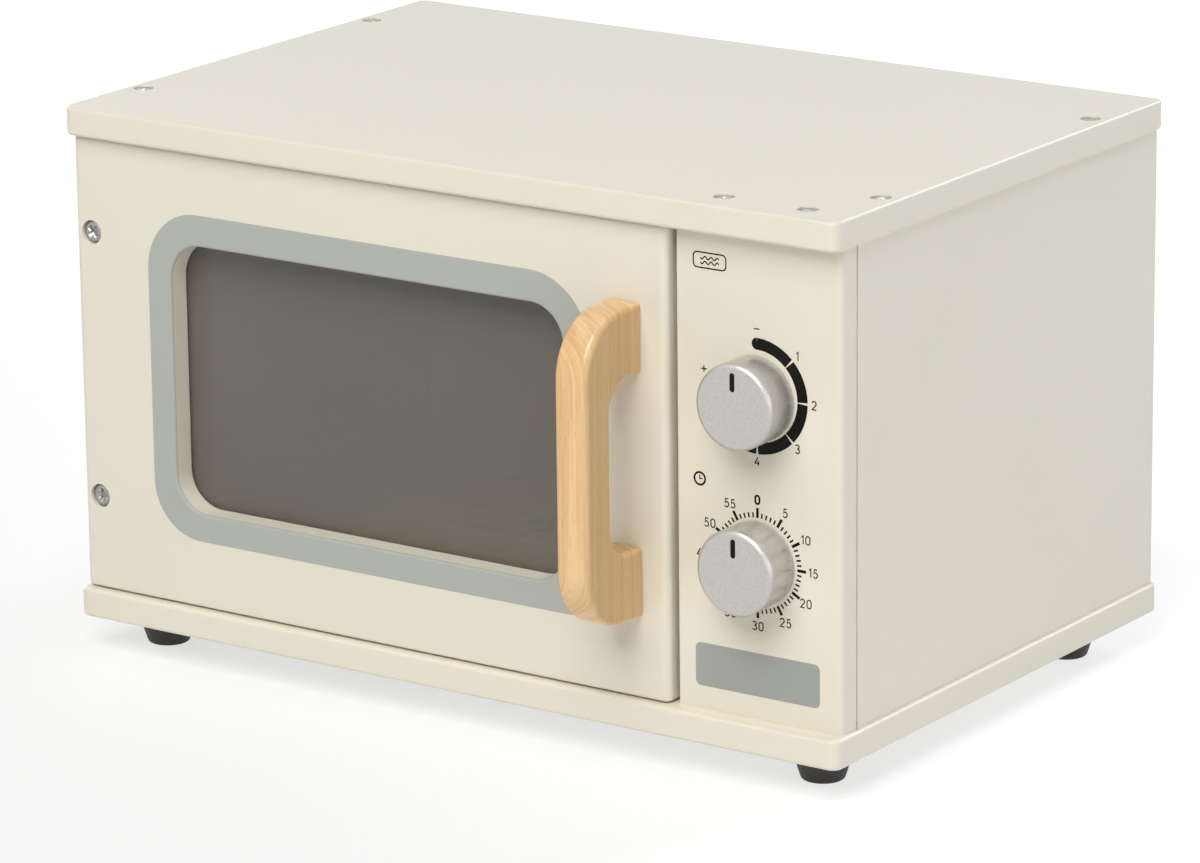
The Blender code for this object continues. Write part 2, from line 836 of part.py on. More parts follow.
def make_dials(fascia, silver, steel):
    """Two knobs that turn, each with the shaft and the nut that hold it through the fascia."""
    knob, nut = knob_mesh(silver), nut_mesh(steel)
    nut_back = fascia_front + body_board + seam + nut_thickness
    rear = nut_back + shaft_tail
    front = fascia_front - knob_bore_depth
    length = rear - front
    shaft_corners = [
        (0, 0, 0),
        (shaft_radius - shaft_chamfer, 0, 0),
        (shaft_radius, shaft_chamfer, 0),
        (shaft_radius, length, 0),
        (0, length, 0),
    ]
    shaft = mesh_of("shaft", turned(rounded(shaft_corners), middle_round), steel)
    hole = mesh_of(
        "shaft_hole",
        prism(circle(shaft_radius + running_gap, middle_round), body_board + 2 * overrun),
    )
    spots = []
    for name, up in (("power", 1), ("time", -1)):
        height = middle_height + up * dial_spacing / 2
        axis = pivot(name + "_axis", (dial_x, fascia_front, height))
        place(name + "_knob", knob, (dial_x, fascia_front - seam, height), facing_front, axis)
        place(name + "_shaft", shaft, (dial_x, rear, height), facing_front, axis)
        place(name + "_nut", nut, (dial_x, nut_back, height), facing_front, axis)
        spots.append((dial_x, fascia_front + body_board + overrun, height))
    cut(cutter("shaft_holes", hole, spots, facing_front), fascia)


def make_turntable(bottom_panel, beech, steel):
    """Wooden disc over a spacer, on a screw whose shank it turns round."""
    bore = turntable_screw_shank_radius + screw_gap
    section = rounded(
        [
            (bore, 0, 0),
            (turntable_radius, 0, turntable_edge),
            (turntable_radius, turntable_thickness, turntable_edge),
            (bore, turntable_thickness, 0),
        ],
        small_arc_steps,
    )
    axis = pivot("turntable_axis", (turntable_x, turntable_y, turntable_base))
    disc = mesh_of("turntable_disc", turned(section, fine_round), beech)
    place("turntable_disc", disc, axis.location, facing_up, axis)
    lift = turntable_lift - 2 * seam
    ring = rounded(
        [
            (bore, 0, 0),
            (spacer_radius, 0, 0),
            (spacer_radius, lift, spacer_edge),
            (bore, lift, 0),
        ],
        small_arc_steps,
    )
    spacer = mesh_of("turntable_spacer", turned(ring, middle_round), beech)
    place("turntable_spacer", spacer, (turntable_x, turntable_y, floor_top + seam))
    screw = screw_mesh("turntable_screw", turntable_screw, steel, middle_round)
    spot = (turntable_x, turntable_y, turntable_top + seam + turntable_screw_head_height)
    place("turntable_screw", screw, spot)
    hole = hole_mesh("turntable_screw_hole", turntable_screw, segments=middle_round)
    cut(cutter("turntable_screw_hole", hole, [spot]), bottom_panel)


def build():
    clear_scene()
    cream = finish("cream paint", (0.79, 0.75, 0.66), 0.35)
    beech = finish("beech", (0.80, 0.55, 0.30), 0.45)
    rubber = finish("black rubber", (0.03, 0.03, 0.03), 0.65)
    glazing = finish("smoked pane", (0.15, 0.14, 0.13), 0.08, alpha=0.6)
    silver = finish("silver paint", (0.62, 0.61, 0.59), 0.40, metallic=0.6)
    steel = finish("zinc plated steel", (0.60, 0.58, 0.54), 0.35, metallic=1.0)
    brass = finish("brassed steel", (0.65, 0.52, 0.30), 0.35, metallic=1.0)
    magnet = finish("nickel plated magnet", (0.55, 0.54, 0.52), 0.25, metallic=1.0)
    top_panel, bottom_panel = make_case_panels(cream)
    left, right, partition = make_body_boards(cream)
    fascia = make_fascia(cream)
    fix_case(top_panel, bottom_panel, left, right, fascia, steel)
    make_feet(bottom_panel, rubber, steel)
    door_axis = pivot("door_axis", (hinge_x, hinge_y, middle_height))
    door = make_door(door_axis, cream)
    make_pane(door, door_axis, glazing, steel)
    make_handle(door, door_axis, beech, steel)
    make_hinges(door, left, door_axis, steel, brass)
    make_catch(door, partition, door_axis, steel, magnet)
    make_dials(fascia, silver, steel)
    make_turntable(bottom_panel, beech, steel)


build()
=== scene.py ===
"""The finished look of a toy microwave oven: satin cream paint, beech, smoked acrylic, silver dials
and black rubber feet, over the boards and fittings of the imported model. Lengths are in metres.
"""

import json
import math

import bmesh
import bpy
from mathutils import Euler, Matrix, Vector


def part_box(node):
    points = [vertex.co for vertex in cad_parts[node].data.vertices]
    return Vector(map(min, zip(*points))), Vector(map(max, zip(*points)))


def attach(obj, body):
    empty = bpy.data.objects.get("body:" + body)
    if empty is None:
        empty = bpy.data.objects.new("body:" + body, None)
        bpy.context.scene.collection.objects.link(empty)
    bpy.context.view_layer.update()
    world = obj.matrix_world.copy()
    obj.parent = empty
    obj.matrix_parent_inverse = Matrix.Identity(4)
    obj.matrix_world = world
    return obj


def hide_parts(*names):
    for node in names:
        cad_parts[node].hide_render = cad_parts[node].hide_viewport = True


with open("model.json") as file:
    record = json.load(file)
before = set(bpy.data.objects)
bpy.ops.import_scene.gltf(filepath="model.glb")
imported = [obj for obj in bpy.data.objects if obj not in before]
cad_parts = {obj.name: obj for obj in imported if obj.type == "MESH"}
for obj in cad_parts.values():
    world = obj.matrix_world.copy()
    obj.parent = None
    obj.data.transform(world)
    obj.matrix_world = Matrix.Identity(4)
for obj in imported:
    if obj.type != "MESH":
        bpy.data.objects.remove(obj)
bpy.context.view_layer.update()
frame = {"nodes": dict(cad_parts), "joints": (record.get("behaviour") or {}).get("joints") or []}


# Top and bottom panels. Each is a board of MDF, cut to size, rounded at its corners and along its
# edges with a router, sprayed with warm off-white satin paint, and screwed down on the body.

panel_corner = 0.0038
panel_edge = 0.0013
panel_corner_steps = 8
edge_steps = 6
hairline = 0.000001
weld_gap = 0.000003
sharp_angle = math.radians(32)
mm_per_metre = 1000

paint_tones = ("#E8E2D2", "#E5DFCE")
paint_drift_mm = 70.0
paint_peel_mm = 1.3
paint_peel_height = 0.000012
paint_peel_range = (0.3, 0.7)
paint_roughness = (0.30, 0.38)
paint_ior = 1.50


def linear(hex_colour):
    """An sRGB hex colour as linear red, green, blue and alpha."""
    channels = [int(hex_colour[at : at + 2], 16) / 255 for at in (1, 3, 5)]
    return (*(c / 12.92 if c <= 0.04045 else ((c + 0.055) / 1.055) ** 2.4 for c in channels), 1.0)


def add(tree, kind, inputs=None, **settings):
    """Adds a shader node, with its settings and its inputs. An input is a value or a socket."""
    node = tree.nodes.new("ShaderNode" + kind)
    for name, value in settings.items():
        setattr(node, name, value)
    for name, value in (inputs or {}).items():
        if isinstance(value, bpy.types.NodeSocket):
            tree.links.new(value, node.inputs[name])
        else:
            node.inputs[name].default_value = value
    return node


def new_material(name):
    """A new material, its empty node tree, and the place on the piece that patterns follow."""
    material = bpy.data.materials.new(name)
    material.use_nodes = True
    tree = material.node_tree
    tree.nodes.clear()
    return material, tree, add(tree, "TexCoord").outputs["Object"]


def noise(tree, place, size_mm, detail):
    """Noise with features this many millimetres across: one size, or one for each axis."""
    scale = 1.0
    if isinstance(size_mm, tuple):
        stretch = tuple(mm_per_metre / size for size in size_mm)
        place = add(tree, "Mapping", {"Vector": place, "Scale": stretch}).outputs["Vector"]
    else:
        scale = mm_per_metre / size_mm
    return add(tree, "TexNoise", {"Vector": place, "Scale": scale, "Detail": detail}).outputs["Fac"]


def blend(tree, share, first, second):
    """A mix of two colours, each an sRGB hex colour, a linear one or a socket."""
    first, second = (linear(hue) if isinstance(hue, str) else hue for hue in (first, second))
    return add(tree, "Mix", {0: share, 6: first, 7: second}, data_type="RGBA").outputs[2]


def spread(tree, value, low, high, start=0.0, end=1.0, **settings):
    """A value that runs from start to end, spread out from low to high."""
    limits = {"From Min": start, "From Max": end, "To Min": low, "To Max": high}
    return add(tree, "MapRange", {"Value": value, **limits}, **settings).outputs["Result"]


def relief(tree, height, depth, strength=1.0, **settings):
    """Fine relief, this many metres deep, as a surface normal."""
    inputs = {"Height": height, "Strength": strength, "Distance": depth}
    return add(tree, "Bump", inputs, **settings).outputs["Normal"]


def surface(material, inputs):
    """Ends a material with its surface, from what its shader's sockets get."""
    tree = material.node_tree
    shader = add(tree, "BsdfPrincipled", inputs)
    add(tree, "OutputMaterial", {"Surface": shader.outputs["BSDF"]})
    return material


def sprayed_satin_paint():
    """Acrylic satin lacquer, sprayed: soft sheen, faint orange peel and slow drifts of tone."""
    material, tree, place = new_material("sprayed_satin_paint")
    drift = noise(tree, place, paint_drift_mm, 3.0)
    peel = noise(tree, place, paint_peel_mm, 1.0)
    inputs = {
        "Base Color": blend(tree, drift, *paint_tones),
        "Roughness": spread(tree, peel, *paint_roughness, *paint_peel_range),
        "Normal": relief(tree, peel, paint_peel_height),
        "IOR": paint_ior,
    }
    return surface(material, inputs)


def rounded(corners, steps):
    """Points of a closed outline whose corners, each (x, y, radius), are arcs of so many steps."""
    points = []
    for index, (x, y, radius) in enumerate(corners):
        here = Vector((x, y))
        if not radius:
            points.append(here)
            continue
        before = (Vector(corners[index - 1][:2]) - here).normalized()
        after = (Vector(corners[(index + 1) % len(corners)][:2]) - here).normalized()
        half = before.angle(after) / 2
        centre = here + (before + after).normalized() * radius / math.sin(half)
        first = here + before * radius / math.tan(half) - centre
        last = here + after * radius / math.tan(half) - centre
        sweep = math.atan2(first.x * last.y - first.y * last.x, first.dot(last))
        for step in range(steps + 1):
            points.append(centre + Matrix.Rotation(sweep * step / steps, 2) @ first)
    return points


def rectangle(left, right, low, high, radii, inset=0.0, steps=panel_corner_steps):
    """A rectangle drawn in by an inset. Its corner radii start at the low left, anticlockwise."""
    corners = ((left, low, 1, 1), (right, low, -1, 1), (right, high, -1, -1), (left, high, 1, -1))
    return rounded(
        [
            (x + inset * across, y + inset * up, max(radius - inset, hairline))
            for (x, y, across, up), radius in zip(corners, radii)
        ],
        steps,
    )


def eased_edges(edge, depth):
    """(inset, height) pairs from a board's lower face, round both of its edges, to its upper face."""
    turns = [math.pi / 2 * step / edge_steps for step in range(edge_steps + 1)]
    lower = [(edge * (1 - math.sin(turn)), edge * (1 - math.cos(turn))) for turn in turns]
    return lower + [(inset, depth - height) for inset, height in reversed(lower)]


def skin(name, loops, ring=False, bands=None):
    """A closed mesh over a row of loops with as many points each. Its two ends are capped, or meet."""
    shape = bmesh.new()
    rows = [[shape.verts.new(point) for point in loop] for loop in loops]
    following = rows[1:] + rows[:1] if ring else rows[1:]
    for band, (near, far) in enumerate(zip(rows, following)):
        for here in range(len(near)):
            there = (here + 1) % len(near)
            face = shape.faces.new((near[here], near[there], far[there], far[here]))
            face.material_index = bands[band] if bands else 0
    if not ring:
        shape.faces.new(rows[0][::-1])
        shape.faces.new(rows[-1])
    bmesh.ops.remove_doubles(shape, verts=shape.verts, dist=weld_gap)
    bmesh.ops.recalc_face_normals(shape, faces=shape.faces)
    return mesh_of(name, shape)


def mesh_of(name, shape):
    """A mesh from a worked shape, smooth but for its sharp edges."""
    mesh = bpy.data.meshes.new(name)
    shape.to_mesh(mesh)
    shape.free()
    mesh.shade_smooth()
    mesh.set_sharp_from_angle(angle=sharp_angle)
    return mesh


def slab(name, bounds, corners, depth, edge):
    """A board of this left, right, low and high bound, round at its corners, with its edges eased."""
    loops = [
        [(*point, height) for point in rectangle(*bounds, corners, inset)]
        for inset, height in eased_edges(edge, depth)
    ]
    return skin(name, loops)


def placed(name, data):
    """A new object in the scene."""
    obj = bpy.data.objects.new(name, data)
    bpy.context.scene.collection.objects.link(obj)
    return obj


def piece(name, mesh, body, node, materials, spot=(0, 0, 0), facing=(0, 0, 0)):
    """A piece in its place on a body, standing for a CAD node where one is named."""
    obj = placed(name, mesh)
    obj.location = spot
    obj.rotation_euler = facing
    if not mesh.materials:
        for material in materials:
            mesh.materials.append(material)
    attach(obj, body)
    if node:
        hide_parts(node)
    return obj


paint = sprayed_satin_paint()
case_panels = {}
for node in ("bottom_panel", "top_panel"):
    low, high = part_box(node)
    bounds, spot = (low.x, high.x, low.y, high.y), (0, 0, low.z)
    mesh = slab(node + "_board", bounds, [panel_corner] * 4, high.z - low.z, panel_edge)
    case_panels[node] = piece("painted_" + node, mesh, "case", node, [paint], spot)


# Upright boards. Two sides, the back and the wall between the oven and the dials, of thinner MDF.
# They are glued and screwed between the panels and sprayed inside and out, so only the seams show.

upright_edge = 0.0021
seam_arris = 0.0003
glue_line = 0.00002
top_line = 0.00015

upright_corners = {
    "left_side_panel": (seam_arris, 0, 0, upright_edge),
    "right_side_panel": (0, seam_arris, upright_edge, 0),
    "back_panel": (0, 0, 0, 0),
    "partition_panel": (0, 0, 0, 0),
}


def block(name, outline, levels):
    """A straight block over an outline, between two levels."""
    return skin(name, [[(*point, level) for point in outline] for level in levels])


def upright_board(node, corners, trim=0.0):
    """A board that stands on its end, close between the panels, with the radii of its corners."""
    low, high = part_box(node)
    high.y -= trim
    ends = (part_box("bottom_panel")[1].z + glue_line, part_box("top_panel")[0].z - top_line)
    outline = rectangle(low.x, high.x, low.y, high.y, corners, 0.0, edge_steps)
    return piece("painted_" + node, block(node, outline, ends), "case", node, [paint])


uprights = {node: upright_board(node, corners) for node, corners in upright_corners.items()}


# Control fascia. An upright board of the same MDF that stands in front of the side panel, with its
# outer corner rounded over. The dial scales and the grey label field are pad-printed on the paint.

fascia_inner_edge = 0.0008
fascia_trim = 0.0004
ink_film = 0.00004
ink_sunk = 0.00001
ink_colour = "#0B0909"
grey_ink_colour = "#A4A8A1"
ink_roughness = 0.45
ink_sheen = 0.15
ink_grain_mm = 0.35
ink_grain_height = 0.000003
ink_thin_share = 0.93

dial_nodes = {"power": "power_shaft", "time": "time_shaft"}
number_height = 0.00266
number_spacing = 0.0009
thin_pen = 0.00040
bold_pen = 0.00066
arc_span = 7.5

power_arc_radius = 0.01662
power_arc_pen = 0.00375
power_arc_end = 270.0
power_arc_gap = 0.9
power_stops = {1: 45, 2: 90, 3: 135, 4: 180}
power_number_radius = 0.0208
power_scale_lift = 0.00065
low_mark_height = 0.0213
high_mark_spot = (-0.0195, 0.0059)
sign_reach = 0.0010

minute_count = 60
minutes_between_numbers = 5
tick_start = 0.0146
short_tick_end = 0.0162
long_tick_end = 0.0178
short_tick_pen = 0.00058
long_tick_pen = 0.00095
time_number_radius = 0.0204

rating_box = (0.09412, 0.10610, 0.16382, 0.16868)
rating_box_corner = 0.0014
rating_box_pen = 0.00045
wave_count = 2
wave_reach = 0.0034
wave_rise = 0.00045
wave_spacing = 0.0015
wave_humps = 3
wave_steps = 24
clock_spot = (0.0960, 0.0963)
clock_radius = 0.0020
clock_hands = [(0, 0.62), (0, 0), (0.48, 0)]
label_field = (0.0941, 0.1401, 0.0290, 0.0431)
label_corner = 0.0020

facing_front = (math.pi / 2, 0, 0)


def printed_ink(name, colour):
    """Pad-printing ink: a matt film, a little uneven where it took up the paint's texture."""
    material, tree, place = new_material(name)
    grain = noise(tree, place, ink_grain_mm, 2.0)
    thin = tuple(ink_thin_share * channel for channel in linear(colour))
    inputs = {
        "Base Color": blend(tree, grain, colour, thin),
        "Roughness": ink_roughness,
        "Normal": relief(tree, grain, ink_grain_height),
        "Specular IOR Level": ink_sheen,
    }
    return surface(material, inputs)


def arc(centre, radii, start, end):
    """Points of an arc between two angles in degrees, anticlockwise from the right."""
    steps = max(2, math.ceil(abs(end - start) / arc_span))
    turns = [math.radians(start + (end - start) * step / steps) for step in range(steps + 1)]
    return [
        (centre[0] + radii[0] * math.cos(turn), centre[1] + radii[1] * math.sin(turn))
        for turn in turns
    ]


def clock_arc(radius, start, end):
    """Points of an arc round a dial, whose angles run clockwise from the top."""
    return arc((0, 0), (radius, radius), 90 - start, 90 - end)


def clock_point(radius, angle):
    """A point at such an angle on a dial's scale."""
    return Vector((radius * math.sin(math.radians(angle)), radius * math.cos(math.radians(angle))))


def digit_lines(digit):
    """The pen's lines for a digit, in a box as high as 1, and the digit's width."""
    oval = [*arc((0.28, 0.70), (0.28, 0.30), 0, 180), *arc((0.28, 0.30), (0.28, 0.30), 180, 360)]
    bows = [*arc((0.26, 0.77), (0.24, 0.23), 155, -90), *arc((0.26, 0.27), (0.28, 0.27), 90, -155)]
    hook = arc((0.28, 0.72), (0.27, 0.28), 168, -38)
    bowl = arc((0.25, 0.32), (0.29, 0.32), 124, -150)
    return {
        "0": ([[*oval, oval[0]]], 0.56),
        "1": ([[(0.0, 0.78), (0.24, 1.0), (0.24, 0.0)]], 0.26),
        "2": ([[*hook, (0.01, 0.0), (0.57, 0.0)]], 0.57),
        "3": ([bows], 0.54),
        "4": ([[(0.40, 1.0), (0.0, 0.27), (0.60, 0.27)], [(0.44, 0.56), (0.44, 0.0)]], 0.60),
        "5": ([[(0.50, 1.0), (0.12, 1.0), (0.06, 0.50), *bowl]], 0.54),
    }[digit]


def stroke(shape, line, pen, closed=False):
    """Draws a line of ink with a pen of this width, mitred where the line bends."""
    points = [Vector(point) for point in line]
    if points[0] == points[-1]:
        points, closed = points[:-1], True
    sides = []
    for index, point in enumerate(points):
        before = points[index - 1] if index or closed else None
        after = points[(index + 1) % len(points)] if index < len(points) - 1 or closed else None
        come = (point - before).normalized() if before else (after - point).normalized()
        leave = (after - point).normalized() if after else come
        along = (come + leave).normalized()
        across = Vector((-along.y, along.x)) * pen / 2 / max(0.5, along.dot(come))
        sides.append([shape.verts.new((*(point + across * side), 0)) for side in (1, -1)])
    following = sides[1:] + sides[:1] if closed else sides[1:]
    for (left, right), (next_left, next_right) in zip(sides, following):
        shape.faces.new((left, right, next_right, next_left))


def write_number(shape, number, middle, pen):
    """Writes a number about its middle."""
    glyphs, height = [digit_lines(digit) for digit in str(number)], number_height
    gap = number_spacing / height
    width = sum(wide for _, wide in glyphs) + gap * (len(glyphs) - 1)
    start = -width / 2
    for glyph, wide in glyphs:
        for line in glyph:
            spots = [(middle[0] + (x + start) * height, middle[1] + (y - 0.5) * height) for x, y in line]
            stroke(shape, spots, pen)
        start += wide + gap


def fill(shape, outline):
    """A flat face over an outline."""
    shape.faces.new([shape.verts.new((*point, 0)) for point in outline])


def round_end(shape, middle, radius, start):
    """A half disc of ink at the end of a wide stroke."""
    fill(shape, arc(middle, (radius, radius), start, start + 180))


def print_ink(name, shape, spot, material):
    """Gives printed shapes the thickness of the ink and lays them on the fascia."""
    bmesh.ops.recalc_face_normals(shape, faces=shape.faces)
    film = bmesh.ops.extrude_face_region(shape, geom=shape.faces[:])
    risen = [item for item in film["geom"] if isinstance(item, bmesh.types.BMVert)]
    bmesh.ops.translate(shape, verts=risen, vec=(0, 0, ink_film + ink_sunk))
    bmesh.ops.recalc_face_normals(shape, faces=shape.faces)
    place = (spot[0], fascia_front + ink_sunk, spot[1])
    piece(name, mesh_of(name, shape), "case", None, [material], place, facing_front)


fascia_corners = (fascia_inner_edge, upright_edge, seam_arris, 0)
uprights["control_fascia"] = upright_board("control_fascia", fascia_corners, fascia_trim)
fascia_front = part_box("control_fascia")[0].y
black_ink = printed_ink("pad_printed_black_ink", ink_colour)
grey_ink = printed_ink("pad_printed_grey_ink", grey_ink_colour)

dial_spots = {}
for dial, node in dial_nodes.items():
    low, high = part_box(node)
    dial_spots[dial] = ((low.x + high.x) / 2, (low.z + high.z) / 2)

# Power scale: a broad arc that starts with a round end and is parted at each number.
shape = bmesh.new()
starts = [0, *(angle + power_arc_gap for angle in power_stops.values())]
ends = [*(angle - power_arc_gap for angle in power_stops.values()), power_arc_end]
for start, end in zip(starts, ends):
    stroke(shape, clock_arc(power_arc_radius, start, end), power_arc_pen)
round_end(shape, clock_point(power_arc_radius, 0), power_arc_pen / 2, 90)
round_end(shape, clock_point(power_arc_radius, power_arc_end), power_arc_pen / 2, 270 - power_arc_end)
for number, angle in power_stops.items():
    write_number(shape, number, clock_point(power_number_radius, angle), thin_pen)
ends = (-sign_reach, sign_reach)
plus_x, plus_z = high_mark_spot
stroke(shape, [(x, low_mark_height) for x in ends], thin_pen)
stroke(shape, [(plus_x + x, plus_z) for x in ends], thin_pen)
stroke(shape, [(plus_x, plus_z + x) for x in ends], thin_pen)
power_x, power_z = dial_spots["power"]
print_ink("power_scale", shape, (power_x, power_z + power_scale_lift), black_ink)

# Time scale: a tick for each minute, longer and broader at each fifth, with its number.
shape = bmesh.new()
for minute in range(minute_count):
    angle = 360 * minute / minute_count
    numbered = minute % minutes_between_numbers == 0
    end = long_tick_end if numbered else short_tick_end
    pen = long_tick_pen if numbered else short_tick_pen
    stroke(shape, [clock_point(tick_start, angle), clock_point(end, angle)], pen)
    if numbered:
        pen = thin_pen if minute else bold_pen
        write_number(shape, minute, clock_point(time_number_radius, angle), pen)
print_ink("time_scale", shape, dial_spots["time"], black_ink)

# Small marks: an outlined box with waves in it, and a clock face over the time scale.
shape = bmesh.new()
stroke(shape, rectangle(*rating_box, [rating_box_corner] * 4), rating_box_pen, closed=True)
left, right, low_edge, high_edge = rating_box
box_middle = ((left + right) / 2, (low_edge + high_edge) / 2)
for row in range(wave_count):
    height = box_middle[1] + (row - (wave_count - 1) / 2) * wave_spacing
    wave = []
    for step in range(-wave_steps, wave_steps + 1):
        share = step / wave_steps
        rise = wave_rise * math.sin(math.pi * wave_humps * share)
        wave.append((box_middle[0] + wave_reach * share, height + rise))
    stroke(shape, wave, thin_pen)
stroke(shape, arc(clock_spot, (clock_radius, clock_radius), 0, 360)[:-1], bold_pen, closed=True)
hands = [(clock_spot[0] + x * clock_radius, clock_spot[1] + y * clock_radius) for x, y in clock_hands]
stroke(shape, hands, thin_pen)
print_ink("fascia_marks", shape, (0, 0), black_ink)

shape = bmesh.new()
fill(shape, rectangle(*label_field, [label_corner] * 4))
print_ink("label_field", shape, (0, 0), grey_ink)


# Board screws. Countersunk cross-head screws of zinc-plated steel, down through the top panel and
# up through the bottom one. Their heads lie just under the paint.

screw_segments = 28
screw_head_steps = 4
hole_gap = 0.0002
overrun = 0.0010
board_screw = {"head": 0.0027, "shank": 0.0017, "flat": True, "play": 0.0003}
flat_rim_share = 0.15
pan_crown_share = 0.55
cross_reach_share = 0.62
cross_arm_share = 0.17
cross_floor_share = 0.45
cross_depth_share = 0.62
screw_twist = 2.4

zinc_tones = ("#B4B2AD", "#A5A39F")
zinc_cloud_mm = 1.1
zinc_roughness = (0.38, 0.50)
zinc_scratches = (0.18, 2.0, 0.000004)

facing_up = (0, 0, 0)
facing_down = (math.pi, 0, 0)


def plated_metal(name, tones, cloud_mm, cloud_detail, roughness, marks=None):
    """Bright plate: two tones and a gloss that change in clouds, and fine marks where they are given.

    Marks are their size in millimetres, their detail and their height.
    """
    material, tree, place = new_material(name)
    cloud = noise(tree, place, cloud_mm, cloud_detail)
    inputs = {
        "Base Color": blend(tree, cloud, *tones),
        "Metallic": 1.0,
        "Roughness": spread(tree, cloud, *roughness),
    }
    if marks:
        size_mm, detail, height = marks
        inputs["Normal"] = relief(tree, noise(tree, place, size_mm, detail), height)
    return surface(material, inputs)


def turned(name, profile, segments, ring=False):
    """A solid turned round its own Z from (radius, height) points."""
    turns = [2 * math.pi * step / segments for step in range(segments)]
    loops = [
        [(radius * math.cos(turn), radius * math.sin(turn), height) for turn in turns]
        for radius, height in profile
    ]
    return skin(name, loops, ring)


def screw_profile(head_radius, head_height, shank_radius, length, flat_head, pointed):
    """Half section of a screw from the middle of its head, at z = 0, down to its tip."""
    if flat_head:
        head = [(head_radius, 0, 0), (head_radius, -head_height * flat_rim_share, 0)]
    else:
        head = [(head_radius, 0, head_height * pan_crown_share), (head_radius, -head_height, 0)]
    end = shank_radius * 2 - length if pointed else -length
    shank = [(shank_radius, -head_height, 0), (shank_radius, end, 0), (0, -length, 0)]
    return rounded([(0, 0, 0), *head, *shank], screw_head_steps)


def shaped(obj, modifier_type, **settings):
    """Adds a modifier with its settings."""
    change = obj.modifiers.new(modifier_type.lower(), modifier_type)
    for name, value in settings.items():
        setattr(change, name, value)


def put_in(shape, mesh, matrix):
    """Adds a moved copy of a mesh to a worked shape."""
    first = len(shape.verts)
    shape.from_mesh(mesh)
    shape.verts.ensure_lookup_table()
    bmesh.ops.transform(shape, matrix=matrix, verts=shape.verts[first:])


def cutting_tool(name, mesh, spots, facing):
    """A hidden tool that holds a copy of a mesh at each spot."""
    shape = bmesh.new()
    for spot in spots:
        put_in(shape, mesh, Matrix.LocRotScale(Vector(spot), Euler(facing), None))
    tool = placed(name, mesh_of(name, shape))
    tool.hide_render = True
    return tool


def cross(reach, arm, height):
    """Twelve points of a cross-shaped recess."""
    quarter = [Vector((reach, -arm)), Vector((reach, arm)), Vector((arm, arm))]
    return [
        (*(Matrix.Rotation(turn * math.pi / 2, 2) @ point), height)
        for turn in range(4)
        for point in quarter
    ]


def cross_head_screw(name, profile, head_radius, head_height, material):
    """The mesh of a screw with a tapered cross recess in its head."""
    reach, arm = head_radius * cross_reach_share, head_radius * cross_arm_share
    depth = head_height * cross_depth_share
    levels = ((reach * cross_floor_share, -depth), (reach, 0), (reach, overrun))
    recess = skin(name + "_recess", [cross(width, arm, height) for width, height in levels])
    body = placed(name, turned(name, profile, screw_segments))
    tool = cutting_tool(name + "_recess", recess, [(0, 0, 0)], facing_up)
    shaped(body, "BOOLEAN", object=tool)
    bpy.context.view_layer.update()
    made = bpy.data.meshes.new_from_object(body.evaluated_get(bpy.context.evaluated_depsgraph_get()))
    bpy.data.objects.remove(body)
    bpy.data.objects.remove(tool)
    made.materials.clear()
    made.materials.append(material)
    return made


def head_spot(node, facing):
    """The middle of a screw's head top, from its CAD box."""
    low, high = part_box(node)
    middle = (low + high) / 2
    reach = (high - low) / 2
    out = Euler(facing).to_matrix() @ Vector((0, 0, 1))
    return middle + Vector((reach.x * out.x, reach.y * out.y, reach.z * out.z))


def nodes_named(start):
    """The CAD nodes whose names start so, in the order of their names."""
    return sorted(node for node in frame["nodes"] if node.startswith(start))


def set_screws(mesh, nodes, body, facing):
    """A screw for each node, each turned a little further than the last one."""
    for number, node in enumerate(nodes):
        spot = head_spot(node, facing)
        screw = piece("set_" + node, mesh, body, node, [], spot)
        screw.matrix_world = (
            Matrix.Translation(spot)
            @ Euler(facing).to_matrix().to_4x4()
            @ Matrix.Rotation(screw_twist * number, 4, "Z")
        )


def fit_screws(name, nodes, body, facing, head, shank, flat=False, pointed=True, play=0.0, metal=None):
    """Makes one screw to the first node's size and sets it at each node.

    The head's height and the shank's radius are given. It returns the mesh, the head's radius and
    the length.
    """
    low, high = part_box(nodes[0])
    radius = (high.x - low.x) / 2 - play
    length = high.z - low.z if facing in (facing_up, facing_down) else high.y - low.y
    profile = screw_profile(radius, head, shank, length, flat, pointed)
    mesh = cross_head_screw(name, profile, radius, head, metal or zinc)
    set_screws(mesh, nodes, body, facing)
    return mesh, radius, length


def even_shading(obj):
    """Keeps a board's flat faces flat to the eye, up to its rounded edges and its cut holes."""
    shaped(obj, "EDGE_SPLIT", split_angle=sharp_angle)
    shaped(obj, "WEIGHTED_NORMAL", keep_sharp=True)


def screw_hole(radii, heights):
    """Half section of a screw's hole: wide from above down to its rim, and narrow from its neck."""
    wide, narrow = radii
    above, rim, neck, below = heights
    return [(0, above), (wide, above), (wide, rim), (narrow, neck), (narrow, below), (0, below)]


def cut(obj, name, mesh, spots, facing, place=(0, 0, 0), turn=(0, 0, 0)):
    """Cuts copies of a mesh out of a piece that stands in this place."""
    tool = cutting_tool(name, mesh, spots, facing)
    tool.location = place
    tool.rotation_euler = turn
    shaped(obj, "BOOLEAN", object=tool)
    even_shading(obj)


